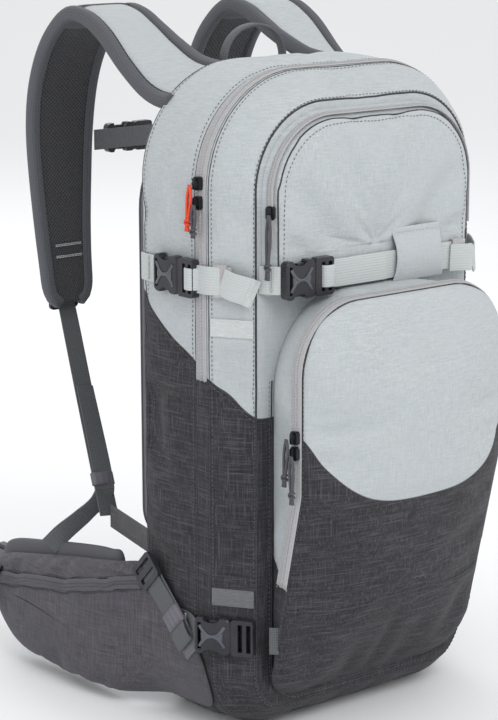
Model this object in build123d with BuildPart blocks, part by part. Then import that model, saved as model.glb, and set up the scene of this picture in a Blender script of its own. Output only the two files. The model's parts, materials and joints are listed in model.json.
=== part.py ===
"""A 30 litre ski backpack: two zipped compartments, two front pockets, a zipped back door with its frame,
shoulder straps, a hip belt with pocketed wings, and the webbing, buckles and zip sliders that close it.

Millimetres. +Z is up, +Y points at the wearer and -X is the wearer's left. The origin is on the plane of
the wearer's back, on the centre line, level with the base.
"""

import math
import os

from build123d import *

# ---- driving dimensions ------------------------------------------------------------------------------
body_height = 600.0
body_half_width = 152.0
back_y = -28.0              # rear face of the main compartment, behind the back door
main_depth = 96.0
safety_depth = 38.0
safety_taper = 33.0         # degrees by which the second compartment draws in towards the front
top_radius = 100.0
bottom_radius = 62.0
wall = 2.5                  # fabric with its lining and thin foam
air = 0.3                   # gap between pieces that lie on each other

main_front_y = back_y - main_depth
safety_front_y = main_front_y - safety_depth

goggle_depth = 14.0
goggle_half_width = 122.0
goggle_taper = 36.0
goggle_base_z, goggle_top_z = 409.0, 568.0
goggle_radius = 70.0
goggle_front_y = safety_front_y - goggle_depth

pocket_front_y = -225.0
pocket_half_width = 121.0
pocket_base_z, pocket_top_z = 34.0, 407.0
pocket_radius = 62.0
pocket_bend_z = 240.0       # below this height the pocket leans back towards the base
pocket_foot_y, pocket_foot_z = -184.0, 58.0

door_half_width = 138.0
door_base_z, door_top_z = 150.0, 553.0
door_frame = 14.0           # width of the rim that the back door closes on

tape_thick = 1.2
tape_width = 14.0
main_tape_y = main_front_y + 8.0
main_tape_end_z = 330.0
pocket_tape_y = pocket_front_y + 15.0
pocket_tape_end_z = 212.0

webbing_thick = 1.4
web = 25.0                  # width of the compression and shoulder webbing
belt_web = 38.0             # width of the hip belt webbing
side_strap_z = 423.0
low_strap_z = 99.0
front_strap_z = 425.0

wing_x = -150.0             # inner face of the left hip wing
wing_foam = 14.0
wing_pocket_depth = 13.0
strap_x = -95.0             # centre line of the left shoulder strap
strap_width = 76.0
strap_thick = 12.0
sternum_y, sternum_z = 178.0, 508.0

os.makedirs("parts", exist_ok=True)


def keep(shape, name):
    """Labels a finished piece and writes it to its own STEP."""
    shape.label = name
    export_step(shape, f"parts/{name}.step")


def on_the_right(shape):
    """The mirror image of a left-hand piece, on the wearer's right."""
    return mirror(shape, about=Plane.YZ)


def across(y):
    """A sketch plane across the pack at depth y, with its normal pointing away from the wearer."""
    return Plane(origin=(0, y, 0), x_dir=(1, 0, 0), z_dir=(0, -1, 0))


def seat(origin, along, normal):
    """A plane on the pack's surface: x runs along a strap or zip and z stands out of the fabric."""
    return Plane(origin=origin, x_dir=along, z_dir=normal)


def panel_outline(half_width, low, high, low_radius, high_radius):
    """Adds a round-cornered panel outline, standing on the height low, to the sketch in hand."""
    with Locations((0, (low + high) / 2)):
        Rectangle(2 * half_width, high - low)
    fillet(vertices().group_by(Axis.Y)[-1], high_radius)
    fillet(vertices().group_by(Axis.Y)[0], low_radius)


# ---- compartments and pockets ------------------------------------------------------------------------
with BuildPart() as main_compartment:
    with BuildSketch(across(back_y)):
        panel_outline(body_half_width, 0, body_height, bottom_radius, top_radius)
    extrude(amount=main_depth)
    fillet(faces().sort_by(Axis.Y)[-1].edges(), 5)
    with BuildSketch(across(back_y - wall)):
        panel_outline(body_half_width - wall, wall, body_height - wall, bottom_radius - wall, top_radius - wall)
    extrude(amount=main_depth - 2 * wall, mode=Mode.SUBTRACT)
    with BuildSketch(across(back_y + 1)):
        panel_outline(door_half_width - door_frame, door_base_z + door_frame, door_top_z - door_frame, 26, 70)
    extrude(amount=wall + 2, mode=Mode.SUBTRACT)
keep(main_compartment.part, "main_compartment")

with BuildPart() as safety_compartment:
    with BuildSketch(across(main_front_y)):
        panel_outline(body_half_width, 0, body_height, bottom_radius, top_radius)
    extrude(amount=safety_depth, taper=safety_taper)
    with BuildSketch(across(main_front_y - wall)):
        panel_outline(body_half_width - 2 * wall, 2 * wall, body_height - 2 * wall, bottom_radius - 2 * wall,
                      top_radius - 2 * wall)
    extrude(amount=safety_depth - 2 * wall, taper=safety_taper, mode=Mode.SUBTRACT)
keep(safety_compartment.part, "safety_compartment")

with BuildPart() as goggle_pocket:
    with BuildSketch(across(safety_front_y)):
        panel_outline(goggle_half_width, goggle_base_z, goggle_top_z, 8, goggle_radius)
    extrude(amount=goggle_depth, taper=goggle_taper)
    with BuildSketch(across(safety_front_y - wall)):
        panel_outline(goggle_half_width - 2 * wall, goggle_base_z + 2 * wall, goggle_top_z - 2 * wall, 7,
                      goggle_radius - 2 * wall)
    extrude(amount=goggle_depth - 2 * wall, taper=goggle_taper, mode=Mode.SUBTRACT)
keep(goggle_pocket.part, "goggle_pocket")


def pocket_block(inset):
    """The lower pocket as a solid block, drawn in on every side by inset."""
    y_back, y_front = safety_front_y - inset, pocket_front_y + inset
    low, high = pocket_base_z + inset, pocket_top_z - inset
    with BuildPart() as block:
        with BuildSketch(Plane.YZ.offset(inset - pocket_half_width)):
            with BuildLine():
                Polyline((y_back, low), (y_back, high), (y_front, high), (y_front, pocket_bend_z),
                         (pocket_foot_y + inset, pocket_foot_z), (pocket_foot_y + 8 + inset, low), close=True)
            make_face()
        extrude(amount=2 * (pocket_half_width - inset))
        with BuildSketch(across(y_back + 1)):
            panel_outline(pocket_half_width - inset, low, high, 40 - inset, pocket_radius - inset)
        extrude(amount=y_back - y_front + 2, mode=Mode.INTERSECT)
    return block.part


with BuildPart() as front_pocket:
    add(pocket_block(0))
    add(pocket_block(wall), mode=Mode.SUBTRACT)
keep(front_pocket.part, "front_pocket")

# ---- sleeves inside the compartments: one for water, two for the shovel and probe --------------------
sleeve_half_width = 98.0
sleeve_base_z, sleeve_top_z = 70.0, 420.0
sleeve_y = main_front_y + wall + 6.0
tool_radius = 11.0
with BuildPart() as inner_sleeves:
    with BuildSketch(across(sleeve_y)):
        panel_outline(sleeve_half_width, sleeve_base_z, sleeve_top_z, 30, 12)
    extrude(amount=5.5)
    with BuildSketch(across(sleeve_y - 1)):
        with Locations((0, (sleeve_base_z + sleeve_top_z) / 2 + 2)):
            Rectangle(2 * sleeve_half_width - 6, sleeve_top_z - sleeve_base_z)
    extrude(amount=3.5, mode=Mode.SUBTRACT)
    with BuildSketch(Plane.XY.offset(80)):
        with Locations(*[(x, main_front_y - safety_depth / 2) for x in (-62, 62)]):
            Circle(tool_radius)
            Circle(tool_radius - 1.5, mode=Mode.SUBTRACT)
    extrude(amount=300)
keep(inner_sleeves.part, "inner_sleeves")


# ---- zip tapes ---------------------------------------------------------------------------------------
def tape_ring(half_width, low, high, low_radius, high_radius, y_middle, end_z):
    """A zip tape round the sides and top of a panel outline, ending at the height end_z."""
    with BuildPart() as ring:
        with BuildSketch(across(y_middle + tape_width / 2)):
            panel_outline(half_width + tape_thick, low - tape_thick, high + tape_thick, low_radius,
                          high_radius + tape_thick)
        extrude(amount=tape_width)
        with BuildSketch(across(y_middle + tape_width / 2)):
            panel_outline(half_width, low, high, low_radius, high_radius)
        extrude(amount=tape_width, mode=Mode.SUBTRACT)
        split(bisect_by=Plane.XY.offset(end_z), keep=Keep.TOP)
    return ring.part


with BuildPart() as zip_tapes:
    add(tape_ring(body_half_width, 0, body_height, bottom_radius, top_radius, main_tape_y, main_tape_end_z))
    add(tape_ring(pocket_half_width, pocket_base_z, pocket_top_z, 40, pocket_radius, pocket_tape_y,
                  pocket_tape_end_z))
keep(zip_tapes.part, "zip_tapes")

# ---- back door ---------------------------------------------------------------------------------------
door_depth = -back_y - air
with BuildPart() as back_door_pad:
    with BuildSketch(across(0)):
        panel_outline(door_half_width, door_base_z, door_top_z, 40, 84)
    extrude(amount=door_depth)
    fillet(faces().sort_by(Axis.Y)[-1].edges(), 9)
    with BuildSketch(across(-door_depth + 6)):
        panel_outline(door_half_width - 12, door_base_z + 12, door_top_z - 12, 28, 72)
    extrude(amount=6, mode=Mode.SUBTRACT)
keep(back_door_pad.part, "back_door_pad")

sheet_y = -door_depth + 5.5
with BuildPart() as frame_sheet:
    with BuildSketch(across(sheet_y)):
        panel_outline(door_half_width - 14, door_base_z + 14, door_top_z - 14, 26, 70)
    extrude(amount=1.2)
keep(frame_sheet.part, "frame_sheet")

stay_width, stay_thick = 14.0, 3.0
with BuildPart() as frame_stays:
    with BuildSketch(across(sheet_y - 1.2)):
        with Locations(*[(x, (door_base_z + door_top_z) / 2) for x in (-55, 55)]):
            RectangleRounded(stay_width, door_top_z - door_base_z - 60, 6)
    extrude(amount=stay_thick)
keep(frame_stays.part, "frame_stays")

with BuildPart() as lumbar_pad:
    with BuildSketch(across(0)):
        panel_outline(112, 8, 144, 30, 18)
    extrude(amount=-back_y)
    fillet(faces().sort_by(Axis.Y)[-1].edges(), 9)
keep(lumbar_pad.part, "lumbar_pad")


# ---- hardware: webbing, buckles, keepers, zip sliders ------------------------------------------------
def strip(plane, start, end, width=web, thick=webbing_thick, lift=air):
    """Flat webbing along the seat plane's x axis, from start to end, lifted off the surface."""
    with BuildPart() as piece:
        with BuildSketch(plane.offset(lift)):
            with Locations(((start + end) / 2, 0)):
                Rectangle(end - start, width)
        extrude(amount=thick)
    return piece.part


def wrapped(plane, points, width, thick=webbing_thick):
    """Webbing that follows a bent line: points lie in the plane and the width runs along its normal."""
    with BuildPart() as piece:
        with BuildSketch(plane):
            with BuildLine():
                Polyline(*points)
                offset(amount=thick, side=Side.LEFT, kind=Kind.INTERSECTION)
            make_face()
        extrude(amount=width / 2, both=True)
    return piece.part


socket_length, plug_length, buckle_height = 34.0, 21.0, 8.4
prong_reach, prong_thick, buckle_wall = 22.0, 4.0, 1.8
buckle_lift = 2.1           # the buckle lies on its webbing


def buckle_socket(plane, width):
    """A side-release socket whose mouth is at x = 0 and whose body runs towards -x."""
    outer = width + 9
    with BuildPart() as socket:
        with BuildSketch(plane.offset(buckle_lift)):
            with Locations((-socket_length / 2, 0)):
                RectangleRounded(socket_length, outer, 5)
        extrude(amount=buckle_height)
        chamfer(edges().group_by(Axis(plane.origin, plane.z_dir))[-1], 1.2)
        with BuildSketch(plane.offset(buckle_lift + buckle_wall)):
            with Locations((-(prong_reach + 2) / 2, 0)):
                Rectangle(prong_reach + 2, outer - 2 * buckle_wall)
        extrude(amount=buckle_height - 2 * buckle_wall, mode=Mode.SUBTRACT)
        with BuildSketch(plane.offset(buckle_lift)):
            with Locations((-prong_reach + 4, outer / 2), (-prong_reach + 4, -outer / 2)):
                Ellipse(8, 4.5)
            with Locations((-socket_length + 5, 0)):
                Rectangle(3.4, width)
        extrude(amount=buckle_height, mode=Mode.SUBTRACT)
    return socket.part


def buckle_plug(plane, width):
    """The plug of a side-release buckle: prongs towards -x, a ladder frame towards +x."""
    outer = width + 9
    prong_span = outer - 2 * buckle_wall - 1.2
    with BuildPart() as plug:
        with BuildSketch(plane.offset(buckle_lift)):
            with Locations((plug_length / 2 + air, 0)):
                RectangleRounded(plug_length, outer, 3)
            with Locations((plug_length * 0.42 + air, 0), (plug_length * 0.8 + air, 0)):
                Rectangle(4.2, width + 1, mode=Mode.SUBTRACT)
        extrude(amount=buckle_height - 1)
        with BuildSketch(plane.offset(buckle_lift + buckle_wall + 0.4)):
            prong_middle = 2 - prong_reach / 2
            with Locations((prong_middle, prong_span / 2 - 2), (prong_middle, 2 - prong_span / 2)):
                Rectangle(prong_reach, 4)
            with Locations((2 - prong_reach / 3, 0)):
                Rectangle(prong_reach / 1.5, 4)
        extrude(amount=prong_thick)
    return plug.part


def keeper(plane, width, length=12.0, height=4.6):
    """An elastic sleeve round a strap and its folded-back tail."""
    with BuildPart() as sleeve:
        with BuildSketch(plane.offset(air)):
            Rectangle(length, width + 4)
        extrude(amount=height)
        with BuildSketch(plane.offset(air)):
            Rectangle(length, width + 1)
        extrude(amount=height - 1, mode=Mode.SUBTRACT)
    return sleeve.part


slider_length, slider_width, slider_height = 12.0, 8.5, 4.0
bail_top = 7.4


def zip_slider(plane):
    """A zip slider with its bail: a waisted body on the tape and a low arch over it."""
    with BuildPart() as slider:
        with BuildSketch(plane.offset(air)):
            RectangleRounded(slider_length, slider_width, 2.5)
            with Locations((-slider_length / 2, 0)):
                Rectangle(3, 2.4, mode=Mode.SUBTRACT)
        extrude(amount=slider_height)
        with BuildSketch(plane.offset(slider_height)):
            with Locations((slider_length / 2 - 2, 0), (2 - slider_length / 2, 0)):
                Rectangle(2, 3)
        extrude(amount=bail_top - slider_height - 1.4)
        with BuildSketch(plane.offset(bail_top - 1.4)):
            SlotOverall(slider_length - 2, 3)
        extrude(amount=1.4)
    return slider.part


def zip_pull(plane, length, cord=2.6, grip=5.0):
    """A cord pull that hangs towards -x from beside the slider's bail and ends in a moulded grip."""
    grip_length = min(22.0, length / 2)
    with BuildPart() as pull:
        with BuildSketch(plane.offset(bail_top + air)):
            with Locations((-length / 2, 0)):
                SlotOverall(length, cord)
        extrude(amount=cord)
        with BuildSketch(plane.offset(bail_top + air)):
            with Locations((grip_length / 2 - length, 0)):
                SlotOverall(grip_length, grip)
        extrude(amount=grip - 1.5)
    return pull.part


UP, DOWN = (0, 0, 1), (0, 0, -1)
LEFT, FRONT, BACK = (-1, 0, 0), (0, -1, 0), (0, 1, 0)

# ---- sliders and pulls on the compartments -----------------------------------------------------------
main_tape_x = -body_half_width - tape_thick
corner_z = body_height - top_radius
upper_slider_z = corner_z + slider_length / 2 + 1
lower_slider_z = upper_slider_z - slider_length - 5
main_upper_seat = seat((main_tape_x, main_tape_y, upper_slider_z), UP, LEFT)
main_lower_seat = seat((main_tape_x, main_tape_y, lower_slider_z), UP, LEFT)

with BuildPart() as main_slider_upper:
    add(zip_slider(main_upper_seat))
keep(main_slider_upper.part, "main_slider_upper")
with BuildPart() as main_slider_lower:
    add(zip_slider(main_lower_seat))
keep(main_slider_lower.part, "main_slider_lower")
pull_beside = 5.5           # the two main pulls hang side by side
with BuildPart() as main_pull_upper:
    add(zip_pull(seat((main_tape_x, main_tape_y + pull_beside / 2, upper_slider_z), UP, LEFT), 42))
keep(main_pull_upper.part, "main_pull_upper")
with BuildPart() as main_pull_lower:
    add(zip_pull(seat((main_tape_x, main_tape_y - pull_beside / 2, lower_slider_z), UP, LEFT), 30))
keep(main_pull_lower.part, "main_pull_lower")

goggle_lean = math.radians(goggle_taper)
goggle_side = (-math.cos(goggle_lean), -math.sin(goggle_lean), 0)
goggle_slider_z = 484.0
goggle_seat = seat((-goggle_half_width + goggle_depth / 2 * math.tan(goggle_lean),
                    safety_front_y - goggle_depth / 2, goggle_slider_z), UP, goggle_side)
with BuildPart() as goggle_slider:
    add(zip_slider(goggle_seat))
keep(goggle_slider.part, "goggle_slider")
with BuildPart() as goggle_pull:
    add(zip_pull(goggle_seat, 58))
keep(goggle_pull.part, "goggle_pull")

pocket_tape_x = -pocket_half_width - tape_thick
pocket_slider_z = (293.0, 279.0)
for name, z, beside in (("upper", pocket_slider_z[0], 3.2), ("lower", pocket_slider_z[1], -3.2)):
    with BuildPart() as pocket_slider:
        add(zip_slider(seat((pocket_tape_x, pocket_tape_y, z), UP, LEFT)))
    keep(pocket_slider.part, f"pocket_slider_{name}")
    with BuildPart() as pocket_pull:
        add(zip_pull(seat((pocket_tape_x, pocket_tape_y + beside, z), UP, LEFT), 44))
    keep(pocket_pull.part, f"pocket_pull_{name}")

door_slider_z = 300.0
door_slider_seat = seat((door_half_width, back_y / 2 - 4, door_slider_z), UP, (1, 0, 0))
with BuildPart() as door_slider:
    add(zip_slider(door_slider_seat))
keep(door_slider.part, "door_slider")
with BuildPart() as door_pull:
    add(zip_pull(door_slider_seat, 34))
keep(door_pull.part, "door_pull")

# ---- compression straps on the sides -----------------------------------------------------------------
slope = math.radians(safety_taper)
gusset_run = safety_depth / math.cos(slope)
gusset_side = (-math.cos(slope), -math.sin(slope), 0)
gusset_along = (math.sin(slope), -math.cos(slope), 0)


def side_wrap(z, start_y, gusset_length, lift, width=web):
    """Webbing on the left side panel from start_y, bent onto the tapered gusset for gusset_length."""
    corner = (-body_half_width - lift, main_front_y - lift * math.tan(slope / 2))
    end = (corner[0] + gusset_length * math.sin(slope), corner[1] - gusset_length * math.cos(slope))
    return wrapped(Plane.XY.offset(z), [end, corner, (corner[0], start_y)], width)


upper_mouth_y, lower_mouth_s = -95.0, 0.0
upper_buckle_seat = seat((-body_half_width - tape_thick, upper_mouth_y, side_strap_z), FRONT, LEFT)
gusset_middle_x = -body_half_width + gusset_run / 2 * math.sin(slope)
gusset_middle = (gusset_middle_x, main_front_y - safety_depth / 2, low_strap_z)
low_seat = seat(gusset_middle, gusset_along, gusset_side)
lower_buckle_seat = Plane(origin=low_seat.from_local_coords((lower_mouth_s, 0, 0)), x_dir=gusset_along,
                          z_dir=gusset_side)

with BuildPart() as side_straps:
    add(side_wrap(side_strap_z, back_y - 8, 28, tape_thick + air))
    add(strip(low_seat, -gusset_run / 2 + 2, gusset_run / 2 + 8))
    mirror(about=Plane.YZ)
keep(side_straps.part, "side_straps")

with BuildPart() as side_buckle_sockets:
    add(buckle_socket(upper_buckle_seat, web))
    add(buckle_socket(lower_buckle_seat, web))
    mirror(about=Plane.YZ)
keep(side_buckle_sockets.part, "side_buckle_sockets")

for level, buckle_seat in (("upper", upper_buckle_seat), ("lower", lower_buckle_seat)):
    with BuildPart() as side_plug:
        add(buckle_plug(buckle_seat, web))
    keep(side_plug.part, f"side_plug_{level}_left")
    keep(on_the_right(side_plug.part), f"side_plug_{level}_right")

# ---- front compression strap, over the gap between the two front pockets ------------------------------
front_face_y = goggle_front_y
buckle_mouth_x = -80.0
front_seat = seat((buckle_mouth_x, front_face_y, front_strap_z), (1, 0, 0), FRONT)
front_end_x = goggle_half_width - goggle_depth * math.tan(goggle_lean)
with BuildPart() as front_strap:
    add(strip(front_seat, -front_end_x - buckle_mouth_x, front_end_x - buckle_mouth_x))
keep(front_strap.part, "front_strap")
with BuildPart() as front_buckle_socket:
    add(buckle_socket(front_seat, web))
keep(front_buckle_socket.part, "front_buckle_socket")
with BuildPart() as front_buckle_plug:
    add(buckle_plug(front_seat, web))
keep(front_buckle_plug.part, "front_buckle_plug")

with BuildPart() as front_strap_flap:
    with BuildSketch(across(front_face_y - 2.4)):
        with Locations((47, front_strap_z + 8)):
            RectangleRounded(62, 48, 5)
    extrude(amount=1.8)
    with BuildSketch(across(front_face_y - 0.1)):
        with Locations((47, front_strap_z + 24)):
            Rectangle(58, 8)
    extrude(amount=2.4)
keep(front_strap_flap.part, "front_strap_flap")

keeper_place = (-body_half_width - tape_thick + 14 * math.sin(slope), main_front_y - 14 * math.cos(slope),
                side_strap_z)
with BuildPart() as strap_keepers:
    add(keeper(seat(keeper_place, gusset_along, gusset_side), web))
    mirror(about=Plane.YZ)
    add(keeper(seat((97, front_face_y, front_strap_z), (1, 0, 0), FRONT), web))
keep(strap_keepers.part, "strap_keepers")

# ---- ski loops and lash tapes, sewn flat on the gussets ----------------------------------------------
with BuildPart() as ski_loops:
    for z, width in ((381.0, 16.0), (134.0, 16.0)):
        loop_seat = seat((gusset_middle[0], gusset_middle[1], z), gusset_along, gusset_side)
        add(strip(loop_seat, -gusset_run / 2 + 3, gusset_run / 2 - 3, width))
    mirror(about=Plane.YZ)
keep(ski_loops.part, "ski_loops")

# ---- haul loop ---------------------------------------------------------------------------------------
haul_width = 14.0
haul_y = back_y + haul_width / 2 + air
with BuildPart() as haul_loop:
    with BuildSketch(Plane(origin=(-20, haul_y, 0), x_dir=(1, 0, 0), z_dir=FRONT)):
        with BuildLine():
            FilletPolyline((-34, body_height - 14), (-30, body_height + 20), (-10, body_height + 36),
                           (24, body_height + 28), (46, body_height - 14), radius=14)
            offset(amount=2.2, side=Side.LEFT)
        make_face()
    extrude(amount=haul_width / 2, both=True)
keep(haul_loop.part, "haul_loop")

# ---- shoulder straps ---------------------------------------------------------------------------------
strap_low = (168.0, 350.0)
anchor = (-127.0, 62.0, 162.0)
strap_side = Plane.YZ.offset(strap_x - strap_width / 2)
with BuildPart() as shoulder_pad_left:
    with BuildSketch(strap_side):
        with BuildLine():
            FilletPolyline((-10, 576), (17, 590), (82, 640), (124, 646), (172, 590), (182, 500), strap_low,
                           radius=[25, 60, 25, 45, 80])
            offset(amount=strap_thick / 2, side=Side.BOTH)
        make_face()
    extrude(amount=strap_width)
keep(shoulder_pad_left.part, "shoulder_pad_left")
keep(on_the_right(shoulder_pad_left.part), "shoulder_pad_right")

web_start = Vector(strap_x, strap_low[0], strap_low[1] - strap_thick - 2)
web_way = Vector(*anchor) - web_start
web_seat = seat(web_start, web_way, Vector(0, -web_way.Z, web_way.Y))
with BuildPart() as strap_webbing_left:
    add(strip(web_seat, 0, web_way.length - 4, lift=-webbing_thick / 2))
keep(strap_webbing_left.part, "strap_webbing_left")
keep(on_the_right(strap_webbing_left.part), "strap_webbing_right")

lock_seat = seat((strap_x, strap_low[0] + strap_thick / 2 + 2, strap_low[1] + 6), DOWN, BACK)
with BuildPart() as strap_lock_left:
    with BuildSketch(lock_seat):
        RectangleRounded(24, web + 8, 4)
        with Locations((-5, 0), (5, 0)):
            Rectangle(5, web + 1, mode=Mode.SUBTRACT)
    extrude(amount=3.6)
keep(strap_lock_left.part, "strap_lock_left")
keep(on_the_right(strap_lock_left.part), "strap_lock_right")

tab_root = Vector(-149.0, back_y + 0.5, 162.0)
tab_way = tab_root - Vector(*anchor)
with BuildPart() as strap_anchor_tabs:
    add(strip(seat(anchor, tab_way, Vector(-tab_way.Y, tab_way.X, 0)), 2, tab_way.length, width=22, thick=1.8))
    mirror(about=Plane.YZ)
keep(strap_anchor_tabs.part, "strap_anchor_tabs")

# ---- sternum strap between the shoulder straps --------------------------------------------------------
sternum_web = 20.0
sternum_reach = -strap_x - strap_width / 2 - 4
sternum_seat = seat((-2, sternum_y, sternum_z), (1, 0, 0), BACK)
with BuildPart() as sternum_webbing:
    add(strip(sternum_seat, -sternum_reach + 2, sternum_reach + 2, sternum_web))
keep(sternum_webbing.part, "sternum_webbing")
with BuildPart() as sternum_socket:
    add(buckle_socket(sternum_seat, sternum_web))
keep(sternum_socket.part, "sternum_socket")
with BuildPart() as sternum_plug:
    add(buckle_plug(sternum_seat, sternum_web))
keep(sternum_plug.part, "sternum_plug")

# ---- hip belt ----------------------------------------------------------------------------------------
wing_root_y, wing_tip_y = -14.0, 202.0
wing_root_top, wing_tip_top = 145.0, 112.0
with BuildPart() as hip_wing_left:
    with BuildSketch(Plane.YZ.offset(wing_x)):
        with BuildLine():
            Polyline((wing_root_y, 16), (wing_root_y, wing_root_top), (60, 138), (wing_tip_y, wing_tip_top),
                     (wing_tip_y, 40), (150, 10), (60, 4), close=True)
        make_face()
        fillet(vertices().sort_by(Axis.X)[-2:], 16)
    extrude(amount=-wing_foam)
keep(hip_wing_left.part, "hip_wing_left")
keep(on_the_right(hip_wing_left.part), "hip_wing_right")

with BuildPart() as hip_pocket_left:
    with BuildSketch(Plane.YZ.offset(wing_x - wing_foam - air)):
        with BuildLine():
            Polyline((0, 24), (0, 136), (60, 130), (192, 104), (192, 44), (146, 16), (60, 12), close=True)
        make_face()
        fillet(vertices().sort_by(Axis.X)[-2:], 12)
    extrude(amount=-wing_pocket_depth, taper=20)
keep(hip_pocket_left.part, "hip_pocket_left")
keep(on_the_right(hip_pocket_left.part), "hip_pocket_right")

with BuildPart() as hip_wing_roots:
    with BuildSketch(Plane.YZ.offset(-body_half_width - air)):
        with BuildLine():
            Polyline((back_y + 4, 24), (back_y + 4, 148), (-52, 148), (-112, 84), (-112, 66), (-70, 64),
                     close=True)
        make_face()
    extrude(amount=-5)
    mirror(about=Plane.YZ)
keep(hip_wing_roots.part, "hip_wing_roots")

hip_slider_y, hip_slider_z = 176.0, 90.0
zip_slope = (0, -0.974, 0.228)
hip_face_x = wing_x - wing_foam - air - wing_pocket_depth
hip_slider_seat = seat((hip_face_x, hip_slider_y, hip_slider_z), zip_slope, LEFT)
hip_pull_seat = seat((hip_face_x, hip_slider_y, hip_slider_z), UP, LEFT)
with BuildPart() as hip_slider_left:
    add(zip_slider(hip_slider_seat))
keep(hip_slider_left.part, "hip_slider_left")
keep(on_the_right(hip_slider_left.part), "hip_slider_right")
with BuildPart() as hip_pull_left:
    add(zip_pull(hip_pull_seat, 38))
keep(hip_pull_left.part, "hip_pull_left")
keep(on_the_right(hip_pull_left.part), "hip_pull_right")

belt_z = 76.0
belt_reach = 66.0
belt_inner_x = wing_x
belt_seat = seat((belt_inner_x, wing_tip_y - 40, belt_z), BACK, (1, 0, 0))
with BuildPart() as hip_webbing_left:
    add(strip(belt_seat, 0, belt_reach, belt_web))
keep(hip_webbing_left.part, "hip_webbing_left")
keep(on_the_right(hip_webbing_left.part), "hip_webbing_right")

belt_end_seat = seat((belt_inner_x, wing_tip_y - 40 + belt_reach + 2, belt_z), FRONT, (1, 0, 0))
with BuildPart() as hip_buckle_plug:
    add(buckle_plug(belt_end_seat, belt_web))
keep(hip_buckle_plug.part, "hip_buckle_plug")
socket_end_seat = seat((-belt_inner_x, wing_tip_y - 40 + belt_reach + 12, belt_z), BACK, LEFT)
with BuildPart() as hip_buckle_socket:
    add(buckle_socket(socket_end_seat, belt_web))
keep(hip_buckle_socket.part, "hip_buckle_socket")

# ---- stabiliser straps from the hip wings' roots to the front of the base ------------------------------
stabiliser_way = Vector(0, -0.72, -0.694)
stabiliser_seat = seat((-body_half_width - air - 5, back_y - 4, 150), stabiliser_way, LEFT)
with BuildPart() as stabiliser_straps:
    add(strip(stabiliser_seat, 4, 106))
    mirror(about=Plane.YZ)
keep(stabiliser_straps.part, "stabiliser_straps")

stabiliser_lock_seat = Plane(origin=stabiliser_seat.from_local_coords((16, 0, 2.2)), x_dir=stabiliser_way,
                             z_dir=LEFT)
with BuildPart() as stabiliser_locks:
    with BuildSketch(stabiliser_lock_seat):
        RectangleRounded(26, web + 8, 4)
        with Locations((-6, 0), (5, 0)):
            Rectangle(5, web + 1, mode=Mode.SUBTRACT)
    extrude(amount=4)
    mirror(about=Plane.YZ)
keep(stabiliser_locks.part, "stabiliser_locks")
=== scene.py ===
import json
import math

import bmesh
import bpy
import numpy as np
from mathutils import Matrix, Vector
from mathutils.bvhtree import BVHTree

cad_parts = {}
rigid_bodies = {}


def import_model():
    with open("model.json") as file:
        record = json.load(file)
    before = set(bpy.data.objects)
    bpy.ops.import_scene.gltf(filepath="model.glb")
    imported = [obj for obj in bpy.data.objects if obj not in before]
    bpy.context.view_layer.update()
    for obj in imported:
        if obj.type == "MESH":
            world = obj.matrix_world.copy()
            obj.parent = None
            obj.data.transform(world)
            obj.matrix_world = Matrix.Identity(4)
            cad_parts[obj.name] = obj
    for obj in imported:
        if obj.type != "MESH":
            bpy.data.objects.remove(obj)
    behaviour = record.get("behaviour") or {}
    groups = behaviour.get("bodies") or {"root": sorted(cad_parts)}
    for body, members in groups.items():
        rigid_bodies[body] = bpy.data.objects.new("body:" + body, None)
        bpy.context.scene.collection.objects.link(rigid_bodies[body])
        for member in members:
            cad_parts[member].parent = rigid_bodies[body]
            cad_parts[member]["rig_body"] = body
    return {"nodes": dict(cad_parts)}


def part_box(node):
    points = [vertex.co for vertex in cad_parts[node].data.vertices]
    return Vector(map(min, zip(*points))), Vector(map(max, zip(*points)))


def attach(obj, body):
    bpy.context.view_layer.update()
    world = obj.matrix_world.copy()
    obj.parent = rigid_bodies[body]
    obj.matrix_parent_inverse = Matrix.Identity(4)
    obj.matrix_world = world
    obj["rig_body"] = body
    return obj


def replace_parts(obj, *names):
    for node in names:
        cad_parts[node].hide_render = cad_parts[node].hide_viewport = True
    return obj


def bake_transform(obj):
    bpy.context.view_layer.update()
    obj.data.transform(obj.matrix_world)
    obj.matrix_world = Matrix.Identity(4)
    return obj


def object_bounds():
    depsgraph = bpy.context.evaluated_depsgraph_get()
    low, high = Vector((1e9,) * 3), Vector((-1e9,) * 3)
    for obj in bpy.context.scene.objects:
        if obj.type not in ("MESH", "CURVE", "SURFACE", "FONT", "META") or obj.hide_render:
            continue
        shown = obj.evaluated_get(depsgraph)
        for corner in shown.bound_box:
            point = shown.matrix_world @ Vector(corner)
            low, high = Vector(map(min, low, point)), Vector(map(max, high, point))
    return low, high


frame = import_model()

cad_box = [list(corner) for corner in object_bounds()]

# ---- The stand: camera, floor and lamps ----
# A ski pack stands 60 cm tall, so it is shown from its front left corner, a little above its middle,
# on a pale studio floor under one wide lamp, one fill and one light from behind.
PACK_MIDDLE = Vector((0.0, -0.028, 0.300))
VIEW_TURN, VIEW_RISE, VIEW_REACH = math.radians(-40), math.radians(13), 2.2
view_from = Vector((math.sin(VIEW_TURN) * math.cos(VIEW_RISE), -math.cos(VIEW_TURN) * math.cos(VIEW_RISE),
                    math.sin(VIEW_RISE)))
camera_data = bpy.data.cameras.new("camera")
camera_data.lens = 114.95
camera_data.sensor_width = 36
camera_data.shift_x, camera_data.shift_y = -0.0292, 0.0181
camera = bpy.data.objects.new("camera", camera_data)
camera.location = PACK_MIDDLE + view_from * VIEW_REACH
camera.rotation_euler = (-view_from).to_track_quat("-Z", "Y").to_euler()
bpy.context.collection.objects.link(camera)
bpy.context.scene.camera = camera


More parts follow.
